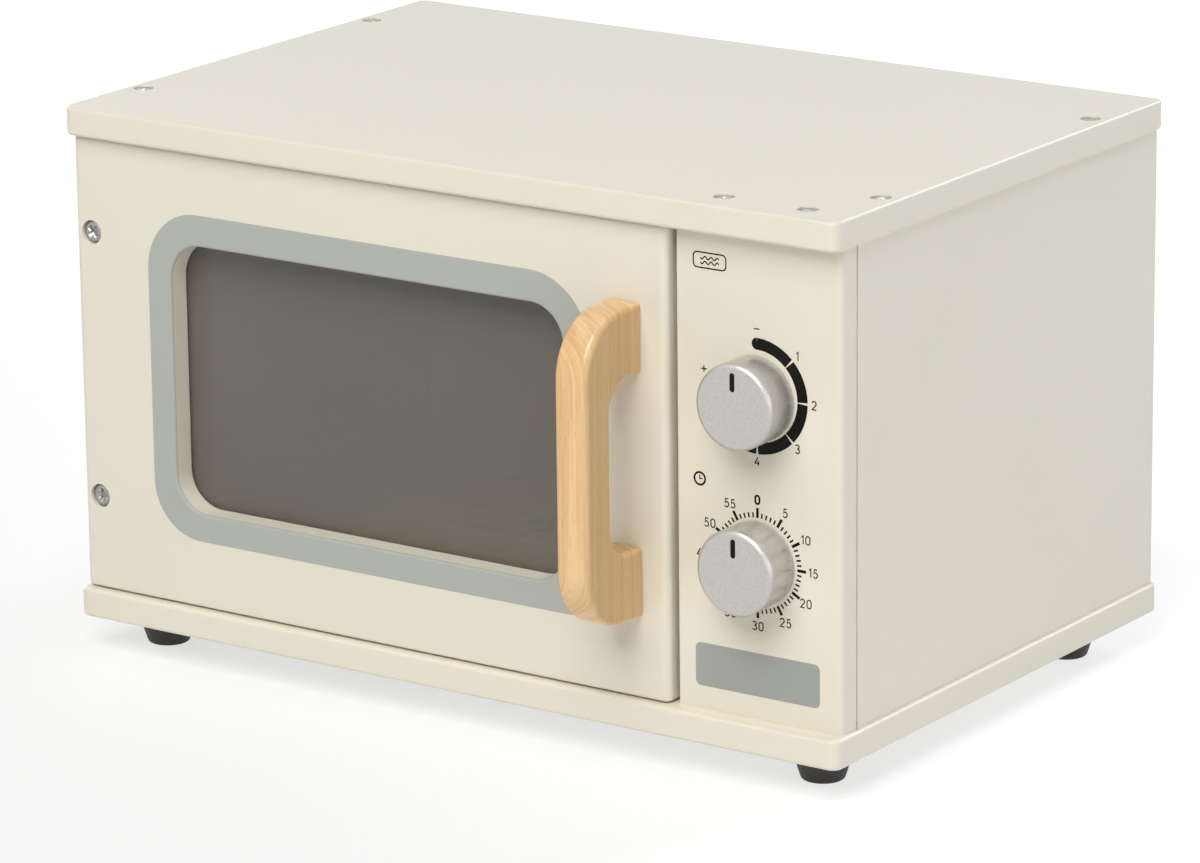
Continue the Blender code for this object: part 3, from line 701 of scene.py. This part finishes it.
# Steel under bright zinc: cloudy grey reflections with fine scratches from the driver.
zinc = plated_metal("zinc_plated_steel", zinc_tones, zinc_cloud_mm, 2.0, zinc_roughness, zinc_scratches)
for panel, facing in (("top", facing_up), ("bottom", facing_down)):
    nodes = nodes_named(panel + "_screw_")
    _, radius, length = fit_screws(panel + "_board_screw", nodes, "case", facing, **board_screw)
    radii, head = (radius + hole_gap, board_screw["shank"] + hole_gap), board_screw["head"]
    profile = screw_hole(radii, (overrun, -head * flat_rim_share, -head, -length))
    hole = turned("hole", profile, screw_segments)
    spots = [head_spot(node, facing) for node in nodes]
    cut(case_panels[panel + "_panel"], panel + "_holes", hole, spots, facing)
for board in uprights.values():
    even_shading(board)


# Feet. Four black rubber feet, moulded as short cones with a round lower rim. Each has a well in
# its underside for the pan-head screw that holds it to the bottom panel.

foot_segments = 48
foot_steps = 6
foot_bottom_radius = 0.0069
foot_round = 0.0013
foot_top_round = 0.0003
foot_well_depth = 0.0060
foot_well_radius = 0.0036
foot_bore_radius = 0.0018
foot_screw = {"head": 0.0020, "shank": 0.0016}

rubber_tones = ("#2E2B28", "#3A3733")
rubber_bloom_mm = 3.0
rubber_grain_mm = 0.35
rubber_grain_height = 0.00003
rubber_roughness = 0.58


def moulded_rubber():
    """Moulded rubber: near-black and matt, with a fine grain and a pale bloom in patches."""
    material, tree, place = new_material("moulded_black_rubber")
    bloom = noise(tree, place, rubber_bloom_mm, 3.0)
    grain = noise(tree, place, rubber_grain_mm, 2.0)
    inputs = {
        "Base Color": blend(tree, bloom, *rubber_tones),
        "Roughness": rubber_roughness,
        "Normal": relief(tree, grain, rubber_grain_height),
    }
    return surface(material, inputs)


rubber = moulded_rubber()
low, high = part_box("foot_front_left")
foot_top_radius, foot_top = (high.x - low.x) / 2, high.z
corners = [
    (foot_well_radius, 0, foot_top_round),
    (foot_bottom_radius, 0, foot_round),
    (foot_top_radius, foot_top, foot_top_round),
    (foot_bore_radius, foot_top, 0),
    (foot_bore_radius, foot_well_depth, 0),
    (foot_well_radius, foot_well_depth, 0),
]
foot_section = rounded(corners, foot_steps)
foot_mesh = turned("rubber_foot", foot_section, foot_segments, ring=True)
corner_names = ("front_left", "front_right", "rear_left", "rear_right")
for corner in corner_names:
    low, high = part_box("foot_" + corner)
    middle = (low + high) / 2
    spot = (middle.x, middle.y, 0)
    piece("rubber_foot_" + corner, foot_mesh, "case", "foot_" + corner, [rubber], spot)
nodes = ["foot_screw_" + corner for corner in corner_names]
fit_screws("foot_screw_mesh", nodes, "case", facing_down, **foot_screw)


# Door. One MDF board with a routed window, rounded over on every edge and sprayed like the case.
# A broad grey band is printed round the window, right up to the cut-out's rounded edge.

door_edge = 0.0010
door_corner = 0.0025
door_corner_steps = 12
window_opening = (-0.1092, 0.0465, 0.05395, 0.14465)
window_corner = 0.0125
window_corner_steps = 16
band_outline = (-0.1184, 0.0567, 0.0446, 0.1553)
band_corners = (0.0187, 0.0092, 0.0227, 0.0205)
band_colour = "#B4B8B1"


def edge_inset(radius, beyond):
    """How far a rounded edge has drawn in where the surface is this far past its start."""
    return radius - math.sqrt(max(0.0, radius * radius - max(0.0, beyond) ** 2))


def door_mesh():
    """The door as a ring of loops: back, outer edge, front, printed band, window edge and wall.

    Its front edges are rounder up the sides than along the top and the bottom.
    """
    low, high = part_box("door_panel")
    depth = high.y - low.y
    turns = eased_edges(door_edge, depth)
    steps = [math.sin(math.pi / 2 * step / door_corner_steps) for step in range(door_corner_steps + 1)]
    levels = [(inset, inset, height) for inset, height in turns[: edge_steps + 1]]
    for share in steps:
        height = depth - door_corner + door_corner * share
        across = edge_inset(door_corner, door_corner * share)
        levels.append((across, edge_inset(door_edge, height - (depth - door_edge)), height))
    loops, bands = [], []
    for across, up, height in levels:
        bounds = (low.x + across, high.x - across, low.z + up, high.z - up)
        corners = [max(door_edge - up, hairline)] * 4
        loops.append([(*point, height) for point in rectangle(*bounds, corners, steps=window_corner_steps)])
        bands.append(0)
    outline = rectangle(*band_outline, band_corners, steps=window_corner_steps)
    loops.append([(*point, depth) for point in outline])
    bands.append(1)
    for step, (inset, height) in enumerate(reversed(turns)):
        outline = rectangle(*window_opening, [window_corner] * 4, -inset, window_corner_steps)
        loops.append([(*point, height) for point in outline])
        bands.append(1 if step < edge_steps else 0)
    return skin("door_board", loops, ring=True, bands=bands)


band_ink = printed_ink("screen_printed_grey_band", band_colour)
door_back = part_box("door_panel")[1].y
mesh, looks, spot = door_mesh(), [paint, band_ink], (0, door_back, 0)
door = piece("painted_door_panel", mesh, "door", "door_panel", looks, spot, facing_front)


# Window pane. A sheet of acrylic, smoked grey-brown, cut with round corners and lapped behind the
# door. A pan-head screw holds it at each corner.

pane_corner = 0.0060
pane_edge = 0.0002
pane_screw = {"head": 0.0014, "shank": 0.0011}
smoke_tones = ("#837F78", "#7F7B74")
smoke_streak_mm = 45.0
smoke_alpha = 0.50
smoke_roughness = 0.17
acrylic_ior = 1.49

facing_rear = (-math.pi / 2, 0, 0)


def smoked_acrylic():
    """Cast acrylic with a smoke tint: glossy, mostly blocking, with the oven dim behind it."""
    material, tree, place = new_material("smoked_cast_acrylic")
    streak = noise(tree, place, smoke_streak_mm, 1.0)
    inputs = {
        "Base Color": blend(tree, streak, *smoke_tones),
        "Roughness": smoke_roughness,
        "Alpha": smoke_alpha,
        "IOR": acrylic_ior,
    }
    return surface(material, inputs)


acrylic = smoked_acrylic()
low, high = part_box("window_pane")
bounds, spot = (low.x, high.x, low.z, high.z), (0, high.y, 0)
mesh = slab("pane_sheet", bounds, [pane_corner] * 4, high.y - low.y, pane_edge)
piece("smoked_window_pane", mesh, "door", "window_pane", [acrylic], spot, facing_front)
fit_screws("pane_screw_mesh", nodes_named("pane_screw_"), "door", facing_rear, **pane_screw)


# Handle. One piece of beech, sawn to a square-shouldered C, rounded over with a router and sanded,
# then given clear satin lacquer. Its grain runs up the grip, and two screws hold it from behind.

handle_grip = 0.0138
handle_foot = 0.0223
handle_shoulder = 0.0200
handle_inner_corner = 0.0105
handle_edge = 0.0023
handle_foot_edge = 0.0012
handle_taper = 0.0090
handle_taper_steps = 6
handle_arc_steps = 26
handle_edge_steps = 7
handle_screw = {"head": 0.0022, "shank": 0.0018}
standing_side_on = (math.pi / 2, 0, -math.pi / 2)

beech_tones = ("#F1CC97", "#DFB178")
beech_pore_colour = "#A87443"
# Painted shade for the faces that look along the texture's Y: the darker tan and how far it is mixed in.
beech_painted_shade_colour = "#C6A473"
beech_painted_shade_share = 0.55
beech_band_mm = (3.0, 14.0, 140.0)
beech_line_mm = (0.55, 9.0, 60.0)
beech_pore_mm = (0.22, 0.30, 3.2)
beech_fleck_mm = (0.5, 1.6, 7.0)
beech_layer_range = (0.79, 1.18)
beech_pore_range, beech_pore_share = (0.60, 0.74), 0.26
beech_fleck_range, beech_fleck_share = (0.62, 0.76), 0.15
beech_rift = math.radians(25)
beech_roughness = (0.10, 0.22)
beech_pore_depth = 0.00002
beech_ior = 1.54


def worked_out(tree, operation, *values):
    """The result of a sum on values and sockets."""
    return add(tree, "Math", dict(enumerate(values)), operation=operation).outputs[0]


def lacquered_beech(name, grain_turn):
    """Beech under satin lacquer: pinkish straw, close straight lines and short darker flecks.

    The grain runs along the texture's Z and its yearly layers are stacked near X, turned a little
    about the grain so that every face shows their lines. Faces that look along the texture's Y get
    painted shade: their colour is drawn towards a darker tan. grain_turn turns the piece to these axes.
    """
    material, tree, place = new_material(name)
    normal = add(tree, "TexCoord").outputs["Normal"]
    rift_turn = (*grain_turn[:2], grain_turn[2] + beech_rift)
    timber = add(tree, "Mapping", {"Vector": place, "Rotation": rift_turn}).outputs["Vector"]
    facing = add(tree, "Mapping", {"Vector": normal, "Rotation": grain_turn}).outputs["Vector"]
    across = add(tree, "SeparateXYZ", {"Vector": facing}).outputs["Y"]
    # Painted shade: the nearer a face looks along the texture's Y, the more it is darkened.
    painted_side_shade = worked_out(tree, "MULTIPLY", worked_out(tree, "MULTIPLY", across, across), beech_painted_shade_share)
    bands, lines = noise(tree, timber, beech_band_mm, 2.0), noise(tree, timber, beech_line_mm, 2.0)
    pores, flecks = noise(tree, timber, beech_pore_mm, 1.0), noise(tree, timber, beech_fleck_mm, 1.0)
    layers = spread(tree, worked_out(tree, "ADD", bands, lines), 0.0, 1.0, *beech_layer_range)
    soft = {"interpolation_type": "SMOOTHSTEP"}
    pored = spread(tree, pores, 0.0, beech_pore_share, *beech_pore_range, **soft)
    flecked = spread(tree, flecks, 0.0, beech_fleck_share, *beech_fleck_range, **soft)
    tone = blend(tree, layers, *beech_tones)
    tone = blend(tree, painted_side_shade, tone, beech_painted_shade_colour)
    tone = blend(tree, pored, tone, beech_pore_colour)
    inputs = {
        "Base Color": blend(tree, flecked, tone, beech_pore_colour),
        "Roughness": spread(tree, lines, *beech_roughness),
        "Normal": relief(tree, pored, beech_pore_depth, invert=True),
        "IOR": beech_ior,
    }
    return surface(material, inputs)


def handle_mesh(depth, height, width):
    """The C drawn from its side and made as thick as it is wide, rounder as it leaves the door."""
    reach = depth - handle_grip
    along_foot = [handle_taper * step / handle_taper_steps for step in range(1, handle_taper_steps + 1)]
    under_foot = [x for x in along_foot if x < reach - handle_inner_corner]
    corners = [
        (0, 0, 0),
        *((x, 0, 0) for x in along_foot),
        (depth, 0, handle_shoulder),
        (depth, height, handle_shoulder),
        *((x, height, 0) for x in reversed(along_foot)),
        (0, height, 0),
        (0, height - handle_foot, 0),
        *((x, height - handle_foot, 0) for x in under_foot),
        (reach, height - handle_foot, handle_inner_corner),
        (reach, handle_foot, handle_inner_corner),
        *((x, handle_foot, 0) for x in reversed(under_foot)),
        (0, handle_foot, 0),
    ]
    outline = rounded(corners, handle_arc_steps)
    inward = []
    for index, point in enumerate(outline):
        along = (outline[(index + 1) % len(outline)] - outline[index - 1]).normalized()
        if point.x < hairline:
            foot_middle = handle_foot / 2 if point.y < height / 2 else height - handle_foot / 2
            inward.append(Vector((0, math.copysign(1, foot_middle - point.y))))
        else:
            inward.append(Vector((-along.y, along.x)))
    edges = [
        handle_foot_edge + (handle_edge - handle_foot_edge) * min(1.0, point.x / handle_taper)
        for point in outline
    ]
    turns = [math.pi / 2 * step / handle_edge_steps for step in range(handle_edge_steps + 1)]
    loops = [
        [
            (*(point + inwards * edge * (1 - math.sin(turn))), edge * (1 - math.cos(turn)))
            for point, inwards, edge in zip(outline, inward, edges)
        ]
        for turn in turns
    ]
    loops += [[(x, y, width - z) for x, y, z in loop] for loop in reversed(loops)]
    return skin("beech_handle", loops)


handle_beech = lacquered_beech("lacquered_beech_handle", (math.pi / 2, 0, 0))
low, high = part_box("handle")
mesh, spot = handle_mesh(high.y - low.y, high.z - low.z, high.x - low.x), (high.x, high.y, low.z)
handle = piece("beech_handle", mesh, "door", "handle", [handle_beech], spot, standing_side_on)
even_shading(handle)
nodes = ["handle_screw_upper", "handle_screw_lower"]
fit_screws("handle_screw_mesh", nodes, "door", facing_rear, **handle_screw)


# Hinges. Two small butt hinges of brass-plated steel, pressed from sheet, with their leaves in the
# gap behind the door. A bolt through the door holds each front leaf, two screws the rear one.

leaf_corner = 0.0008
leaf_corner_steps = 4
knuckle_radius = 0.0014
knuckle_gap = 0.0002
knuckle_round = 0.00015
knuckle_segments = 32
knuckle_share = 1 / 3
pin_radius = 0.0006
pin_head_height = 0.0005
pin_head_round = 0.0002
leaf_screw = {"head": 0.0010, "shank": 0.0010, "flat": True}
door_bolt = {"head": 0.0020, "shank": 0.0015, "pointed": False}
door_bolt_sink = 0.0008
door_bolt_lap = 0.0002
plate_start = 0.003

worn_zinc_tones = ("#C6C5C2", "#7C7A77")
brass_tones = ("#C9A867", "#B8965A")
brass_cloud_mm = 4.0
brass_roughness = (0.24, 0.38)
brass_lines = ((0.12, 6.0, 6.0), 1.0, 0.000003)


def leaf_mesh(name, width, height, thickness, outer_knuckles, axis_depth):
    """A leaf with its knuckles. Its X runs from the pin, its Y up, and its Z out of the plate."""
    clear = knuckle_radius + knuckle_gap
    end = height / 2
    knuckle = (height - 2 * knuckle_gap) * knuckle_share
    if outer_knuckles:
        step, at_ends, at_middle = end - knuckle, 0, clear
    else:
        step, at_ends, at_middle = knuckle / 2, clear, 0
    corners = [
        (at_ends, end, 0),
        (at_ends, step, 0),
        (at_middle, step, 0),
        (at_middle, -step, 0),
        (at_ends, -step, 0),
        (at_ends, -end, 0),
        (width, -end, leaf_corner),
        (width, end, leaf_corner),
    ]
    plate = rounded(corners, leaf_corner_steps)
    shape = bmesh.new()
    shape.from_mesh(block(name + "_plate", plate, (0, thickness)))
    corners = [
        (pin_radius, 0, 0),
        (knuckle_radius, 0, knuckle_round),
        (knuckle_radius, knuckle, knuckle_round),
        (pin_radius, knuckle, 0),
    ]
    tube = turned(name + "_tube", rounded(corners, leaf_corner_steps), knuckle_segments, ring=True)
    for place in (-end, end - knuckle) if outer_knuckles else (-knuckle / 2,):
        upright = Matrix.Translation((0, place, axis_depth)) @ Matrix.Rotation(-math.pi / 2, 4, "X")
        put_in(shape, tube, upright)
    bmesh.ops.recalc_face_normals(shape, faces=shape.faces)
    return mesh_of(name, shape)


# Brass plate on pressed steel: warm, cloudy, with faint lines from the rolled sheet.
brass = plated_metal("brass_plated_steel", brass_tones, brass_cloud_mm, 3.0, brass_roughness, brass_lines)
hinge = next(joint for joint in frame["joints"] if joint["name"] == "door_hinge")
hinge_x, hinge_y = hinge["pos_m"][:2]
for level in ("upper", "lower"):
    for body in ("door", "case"):
        node = f"hinge_{body}_leaf_{level}"
        low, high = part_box(node)
        points = [vert.co for vert in frame["nodes"][node].data.vertices]
        plate = [point.y for point in points if point.x > hinge_x + plate_start]
        front, back = min(plate), max(plate)
        width, height, outer = high.x - hinge_x, high.z - low.z, body == "case"
        mesh = leaf_mesh(node, width, height, back - front, outer, back - hinge_y)
        spot = (hinge_x, back, (low.z + high.z) / 2)
        piece(f"brass_{body}_leaf_{level}", mesh, body, node, [brass], spot, facing_front)
    node = "hinge_pin_" + level
    low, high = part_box(node)
    head_radius = (high.x - low.x) / 2
    corners = [
        (0, 0, 0),
        (pin_radius, 0, 0),
        (pin_radius, high.z - low.z - pin_head_height, 0),
        (head_radius, high.z - low.z - pin_head_height, 0),
        (head_radius, high.z - low.z, pin_head_round),
        (0, high.z - low.z, 0),
    ]
    pin = rounded(corners, leaf_corner_steps)
    spot = ((low.x + high.x) / 2, (low.y + high.y) / 2, low.z)
    mesh = turned(node + "_rod", pin, screw_segments)
    piece("steel_" + node, mesh, "case", node, [zinc], spot)

nodes = nodes_named("hinge_screw_")
leaf_screw_mesh, _, _ = fit_screws("leaf_screw_mesh", nodes, "case", facing_front, **leaf_screw)

# The door's bolts have dulled where the driver turned them.
worn_zinc = plated_metal(
    "worn_zinc_plated_steel", worn_zinc_tones, zinc_cloud_mm, 2.0, zinc_roughness, zinc_scratches
)
nodes = ["door_bolt_lower", "door_bolt_upper"]
_, radius, length = fit_screws("door_bolt_mesh", nodes, "door", facing_front, metal=worn_zinc, **door_bolt)
radii = (radius + door_bolt_lap, door_bolt["shank"] + door_bolt_lap)
seat = -door_bolt["head"] - door_bolt_lap
profile = screw_hole(radii, (door_bolt_sink + overrun, seat, seat, -length - overrun))
spots = [head_spot(node, facing_front) - Vector((0, door_back, 0)) for node in nodes]
local_spots = [(spot.x, spot.z, -spot.y) for spot in spots]
hole = turned("bolt_hole", profile, foot_segments)
cut(door, "bolt_holes", hole, local_spots, facing_up, door.matrix_world.translation, facing_front)


# Catch. A nickel-plated magnet is pressed into the front edge of the wall beside the oven, and a
# zinc-plated steel disc is screwed to the back of the door to meet it.

magnet_chamfer = 0.0004
strike_edge = 0.0002
catch_segments = 40
nickel_tones = ("#CFCBC2", "#BDB8AE")
nickel_stain_mm = 2.2
nickel_roughness = (0.12, 0.22)

# Nickel plate on a pressed magnet: bright and slightly yellow, with faint stains.
nickel = plated_metal("nickel_plated_magnet", nickel_tones, nickel_stain_mm, 3.0, nickel_roughness)
for node, body, edge, material, slot in (
    ("catch_magnet", "case", magnet_chamfer, nickel, "nickel_plated_magnet"),
    ("catch_strike", "door", strike_edge, zinc, "zinc_plated_steel"),
):
    low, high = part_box(node)
    radius, depth = (high.x - low.x) / 2, high.y - low.y
    corners = [(0, 0, 0), (radius, 0, edge), (radius, depth, edge), (0, depth, 0)]
    profile = rounded(corners, leaf_corner_steps)
    spot = ((low.x + high.x) / 2, high.y, (low.z + high.z) / 2)
    mesh = turned(node + "_disc", profile, catch_segments)
    piece("plated_" + node, mesh, body, node, [material], spot, facing_front)
set_screws(leaf_screw_mesh, ["catch_screw"], "door", facing_rear)


# Dials. Two knobs turned in plastic and sprayed with silver satin paint, each with a black mark in
# a shallow slot. A steel shaft goes through the fascia and a nut holds it behind.

knob_segments = 96
knob_steps = 8
knob_base_radius = 0.0136
knob_rim = 0.0016
knob_base_edge = 0.0004
knob_bore_radius = 0.0031
knob_bore_depth = 0.0078
mark_length = 0.0061
mark_width = 0.0018
mark_reach = 0.0081
mark_depth = 0.0004
mark_film = 0.00034
mark_corner_steps = 8

silver_tones = ("#CBC8C4", "#BEBBB7")
silver_fleck_mm = 0.55
silver_patch_mm = 5.0
silver_mottle_range = (0.35, 0.65)
silver_metallic = 0.60
silver_roughness = (0.30, 0.38)
silver_fleck_height = 0.000014


def silver_satin_paint():
    """Metallic lacquer on plastic: pale silver with a fine mottle where the flakes lie unevenly."""
    material, tree, place = new_material("sprayed_silver_lacquer")
    fleck = noise(tree, place, silver_fleck_mm, 3.0)
    patch = noise(tree, place, silver_patch_mm, 2.0)
    mottle = spread(tree, fleck, 0.0, 1.0, *silver_mottle_range)
    inputs = {
        "Base Color": blend(tree, mottle, *silver_tones),
        "Metallic": silver_metallic,
        "Roughness": spread(tree, patch, *silver_roughness),
        "Normal": relief(tree, fleck, silver_fleck_height),
    }
    return surface(material, inputs)


silver = silver_satin_paint()
low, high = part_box("power_knob")
knob_radius, knob_length = (high.x - low.x) / 2, high.y - low.y
corners = [
    (0, knob_bore_depth, 0),
    (knob_bore_radius, knob_bore_depth, 0),
    (knob_bore_radius, 0, 0),
    (knob_base_radius, 0, knob_base_edge),
    (knob_radius, knob_length, knob_rim),
    (0, knob_length, 0),
]
knob_section = rounded(corners, knob_steps)

half = mark_width / 2
mark_ends = (mark_reach - mark_length / 2, mark_reach + mark_length / 2)
mark_corners = [half - hairline] * 4
mark_outline = rectangle(-half, half, *mark_ends, mark_corners, steps=mark_corner_steps)

slot_floor = knob_length - mark_depth
for dial in dial_nodes:
    node, body = dial + "_knob", dial + "_dial"
    low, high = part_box(node)
    spot = ((low.x + high.x) / 2, high.y, (low.z + high.z) / 2)
    mesh = turned(node + "_turning", knob_section, knob_segments)
    knob = piece("silver_" + node, mesh, body, node, [silver], spot, facing_front)
    slot = block("slot", mark_outline, (slot_floor, knob_length + overrun))
    cut(knob, dial + "_mark_slot", slot, [(0, 0, 0)], facing_up, spot, facing_front)
    film = block("mark", mark_outline, (slot_floor, slot_floor + mark_film))
    piece(dial + "_mark", film, body, None, [black_ink], spot, facing_front)
    for node in (dial + "_shaft", dial + "_nut"):
        fitting = frame["nodes"][node]
        fitting.data.materials.clear()
        fitting.data.materials.append(zinc)


# Turntable. A disc of beech, turned and sanded, that spins on a pan-head screw over a small beech
# spacer. It shows as a warm shape low in the window.

disc_segments = 128
disc_steps = 6
turntable_bore = 0.0024
turntable_edge = 0.0015
spacer_edge = 0.0006
turntable_screw = {"head": 0.0022, "shank": 0.0022}

disc_beech = lacquered_beech("lacquered_beech_disc", (0, math.pi / 2, 0))
for node, body, edge in (
    ("turntable_spacer", "case", spacer_edge),
    ("turntable_disc", "turntable", turntable_edge),
):
    low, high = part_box(node)
    radius, depth = (high.x - low.x) / 2, high.z - low.z
    corners = [(turntable_bore, 0, 0), (radius, 0, edge), (radius, depth, edge), (turntable_bore, depth, 0)]
    profile = rounded(corners, disc_steps)
    spot = ((low.x + high.x) / 2, (low.y + high.y) / 2, low.z)
    mesh = turned(node + "_turning", profile, disc_segments, ring=True)
    piece("beech_" + node, mesh, body, node, [disc_beech], spot)
fit_screws("turntable_screw_mesh", ["turntable_screw"], "case", facing_up, **turntable_screw)


# Floor. A sheet of white paper, wide and level, that takes the soft shadow under the toy. To the
# camera and in reflections it glows, more to the right and the back, and so meets the white room.

floor_reach = 6.0
floor_colour = "#F7F7F7"
floor_seen_colour = "#989898"
floor_glow = (0.66, 1.07)
floor_glow_reach = (-0.26, 0.98)
floor_glow_lean = 0.5
floor_roughness = 0.85
paper_fibre_mm = 2.0
paper_fibre_height = 0.00002
paper_relief_strength = 0.5


def seen_rays(tree):
    """1 for what the camera sees, directly, in a reflection or through the pane, otherwise 0."""
    rays = add(tree, "LightPath").outputs
    direct = worked_out(tree, "MAXIMUM", rays["Is Camera Ray"], rays["Is Glossy Ray"])
    return worked_out(tree, "MAXIMUM", direct, rays["Is Transmission Ray"])


def white_paper():
    """Matt white paper: it scatters light evenly and keeps shadows."""
    material, tree, place = new_material("matt_white_paper")
    fibre = noise(tree, place, paper_fibre_mm, 2.0)
    seen = seen_rays(tree)
    spot = add(tree, "SeparateXYZ", {"Vector": place}).outputs
    along = worked_out(tree, "MULTIPLY_ADD", spot["X"], floor_glow_lean, spot["Y"])
    glow = spread(tree, along, *floor_glow, *floor_glow_reach)
    inputs = {
        "Base Color": blend(tree, seen, floor_colour, floor_seen_colour),
        "Roughness": floor_roughness,
        "Normal": relief(tree, fibre, paper_fibre_height, paper_relief_strength),
        "Emission Color": linear(floor_colour),
        "Emission Strength": worked_out(tree, "MULTIPLY", seen, glow),
    }
    return surface(material, inputs)


corners = rectangle(-floor_reach, floor_reach, -floor_reach, floor_reach, [0] * 4, steps=1)
shape = bmesh.new()
fill(shape, corners)
bmesh.ops.remove_doubles(shape, verts=shape.verts, dist=weld_gap)
floor = placed("paper_floor", mesh_of("paper_floor", shape))
floor.data.materials.append(white_paper())


# Room and lamps. Two softboxes stand high in front and make the shading. Two from the right and
# one from the left fill it, and a small one behind draws the bright edges of the case.

room_light = 0.02
room_white = 1.0
lamp_aim = Vector((0, 0, 0.09))
lamp_distance = 3.0
warm, plain, cold = "#FFFEFC", "#F8FAFF", "#E6EEFF"
# Each lamp's turn and rise in degrees, its size in metres, its power in watts and its tint.
lamps = {
    "front_softbox": (10, 50, 2.1, 80.0, warm),
    "high_softbox": (20, 72, 2.4, 5.0, plain),
    "right_front_fill": (64, 12, 1.6, 11.0, plain),
    "right_rear_fill": (118, 6, 2.0, 17.5, plain),
    "rear_softbox": (162, 32, 0.85, 26.0, cold),
    "left_fill": (-115, 5, 2.0, 26.0, plain),
}


def point_along(turn, rise):
    """A direction: turn is round from the front towards the dials, rise is above the floor."""
    turn, rise = math.radians(turn), math.radians(rise)
    level = math.cos(rise)
    return Vector((math.sin(turn) * level, -math.cos(turn) * level, math.sin(rise)))


world = bpy.data.worlds.new("white_room")
bpy.context.scene.world = world
world.use_nodes = True
tree = world.node_tree
tree.nodes.clear()
strength = spread(tree, seen_rays(tree), room_light, room_white)
background = add(tree, "Background", {"Color": linear("#FFFFFF"), "Strength": strength})
add(tree, "OutputWorld", {"Surface": background.outputs["Background"]})

for name, (turn, rise, size, power, tint) in lamps.items():
    light = bpy.data.lights.new(name, "AREA")
    light.shape = "SQUARE"
    light.size = size
    light.energy = power
    light.color = linear(tint)[:3]
    out = point_along(turn, rise)
    box = placed(name, light)
    box.location = lamp_aim + out * lamp_distance
    box.rotation_euler = out.to_track_quat("Z", "Y").to_euler()


# Camera. It stands to the right of the toy and a little above it, far off, with a long lens, as
# the photograph was taken. Angles, distance and lens come from the straight edges of the case.

camera_turn = math.radians(34.798)
camera_fall = math.radians(15.821)
camera_roll = math.radians(-0.629)
camera_distance = 2.0668
camera_lens_mm = 185.72
camera_aim = Vector((-0.01380, 0.02392, 0.06973))

camera = placed("camera", bpy.data.cameras.new("camera"))
camera.data.lens = camera_lens_mm
camera_view = (
    Matrix.Rotation(camera_turn, 4, "Z")
    @ Matrix.Rotation(math.pi / 2 - camera_fall, 4, "X")
    @ Matrix.Rotation(camera_roll, 4, "Z")
)
back = camera_view @ Vector((0, 0, 1))
camera.matrix_world = Matrix.Translation(camera_aim + back * camera_distance) @ camera_view
bpy.context.scene.camera = camera
bpy.context.scene.view_settings.view_transform = "Standard"
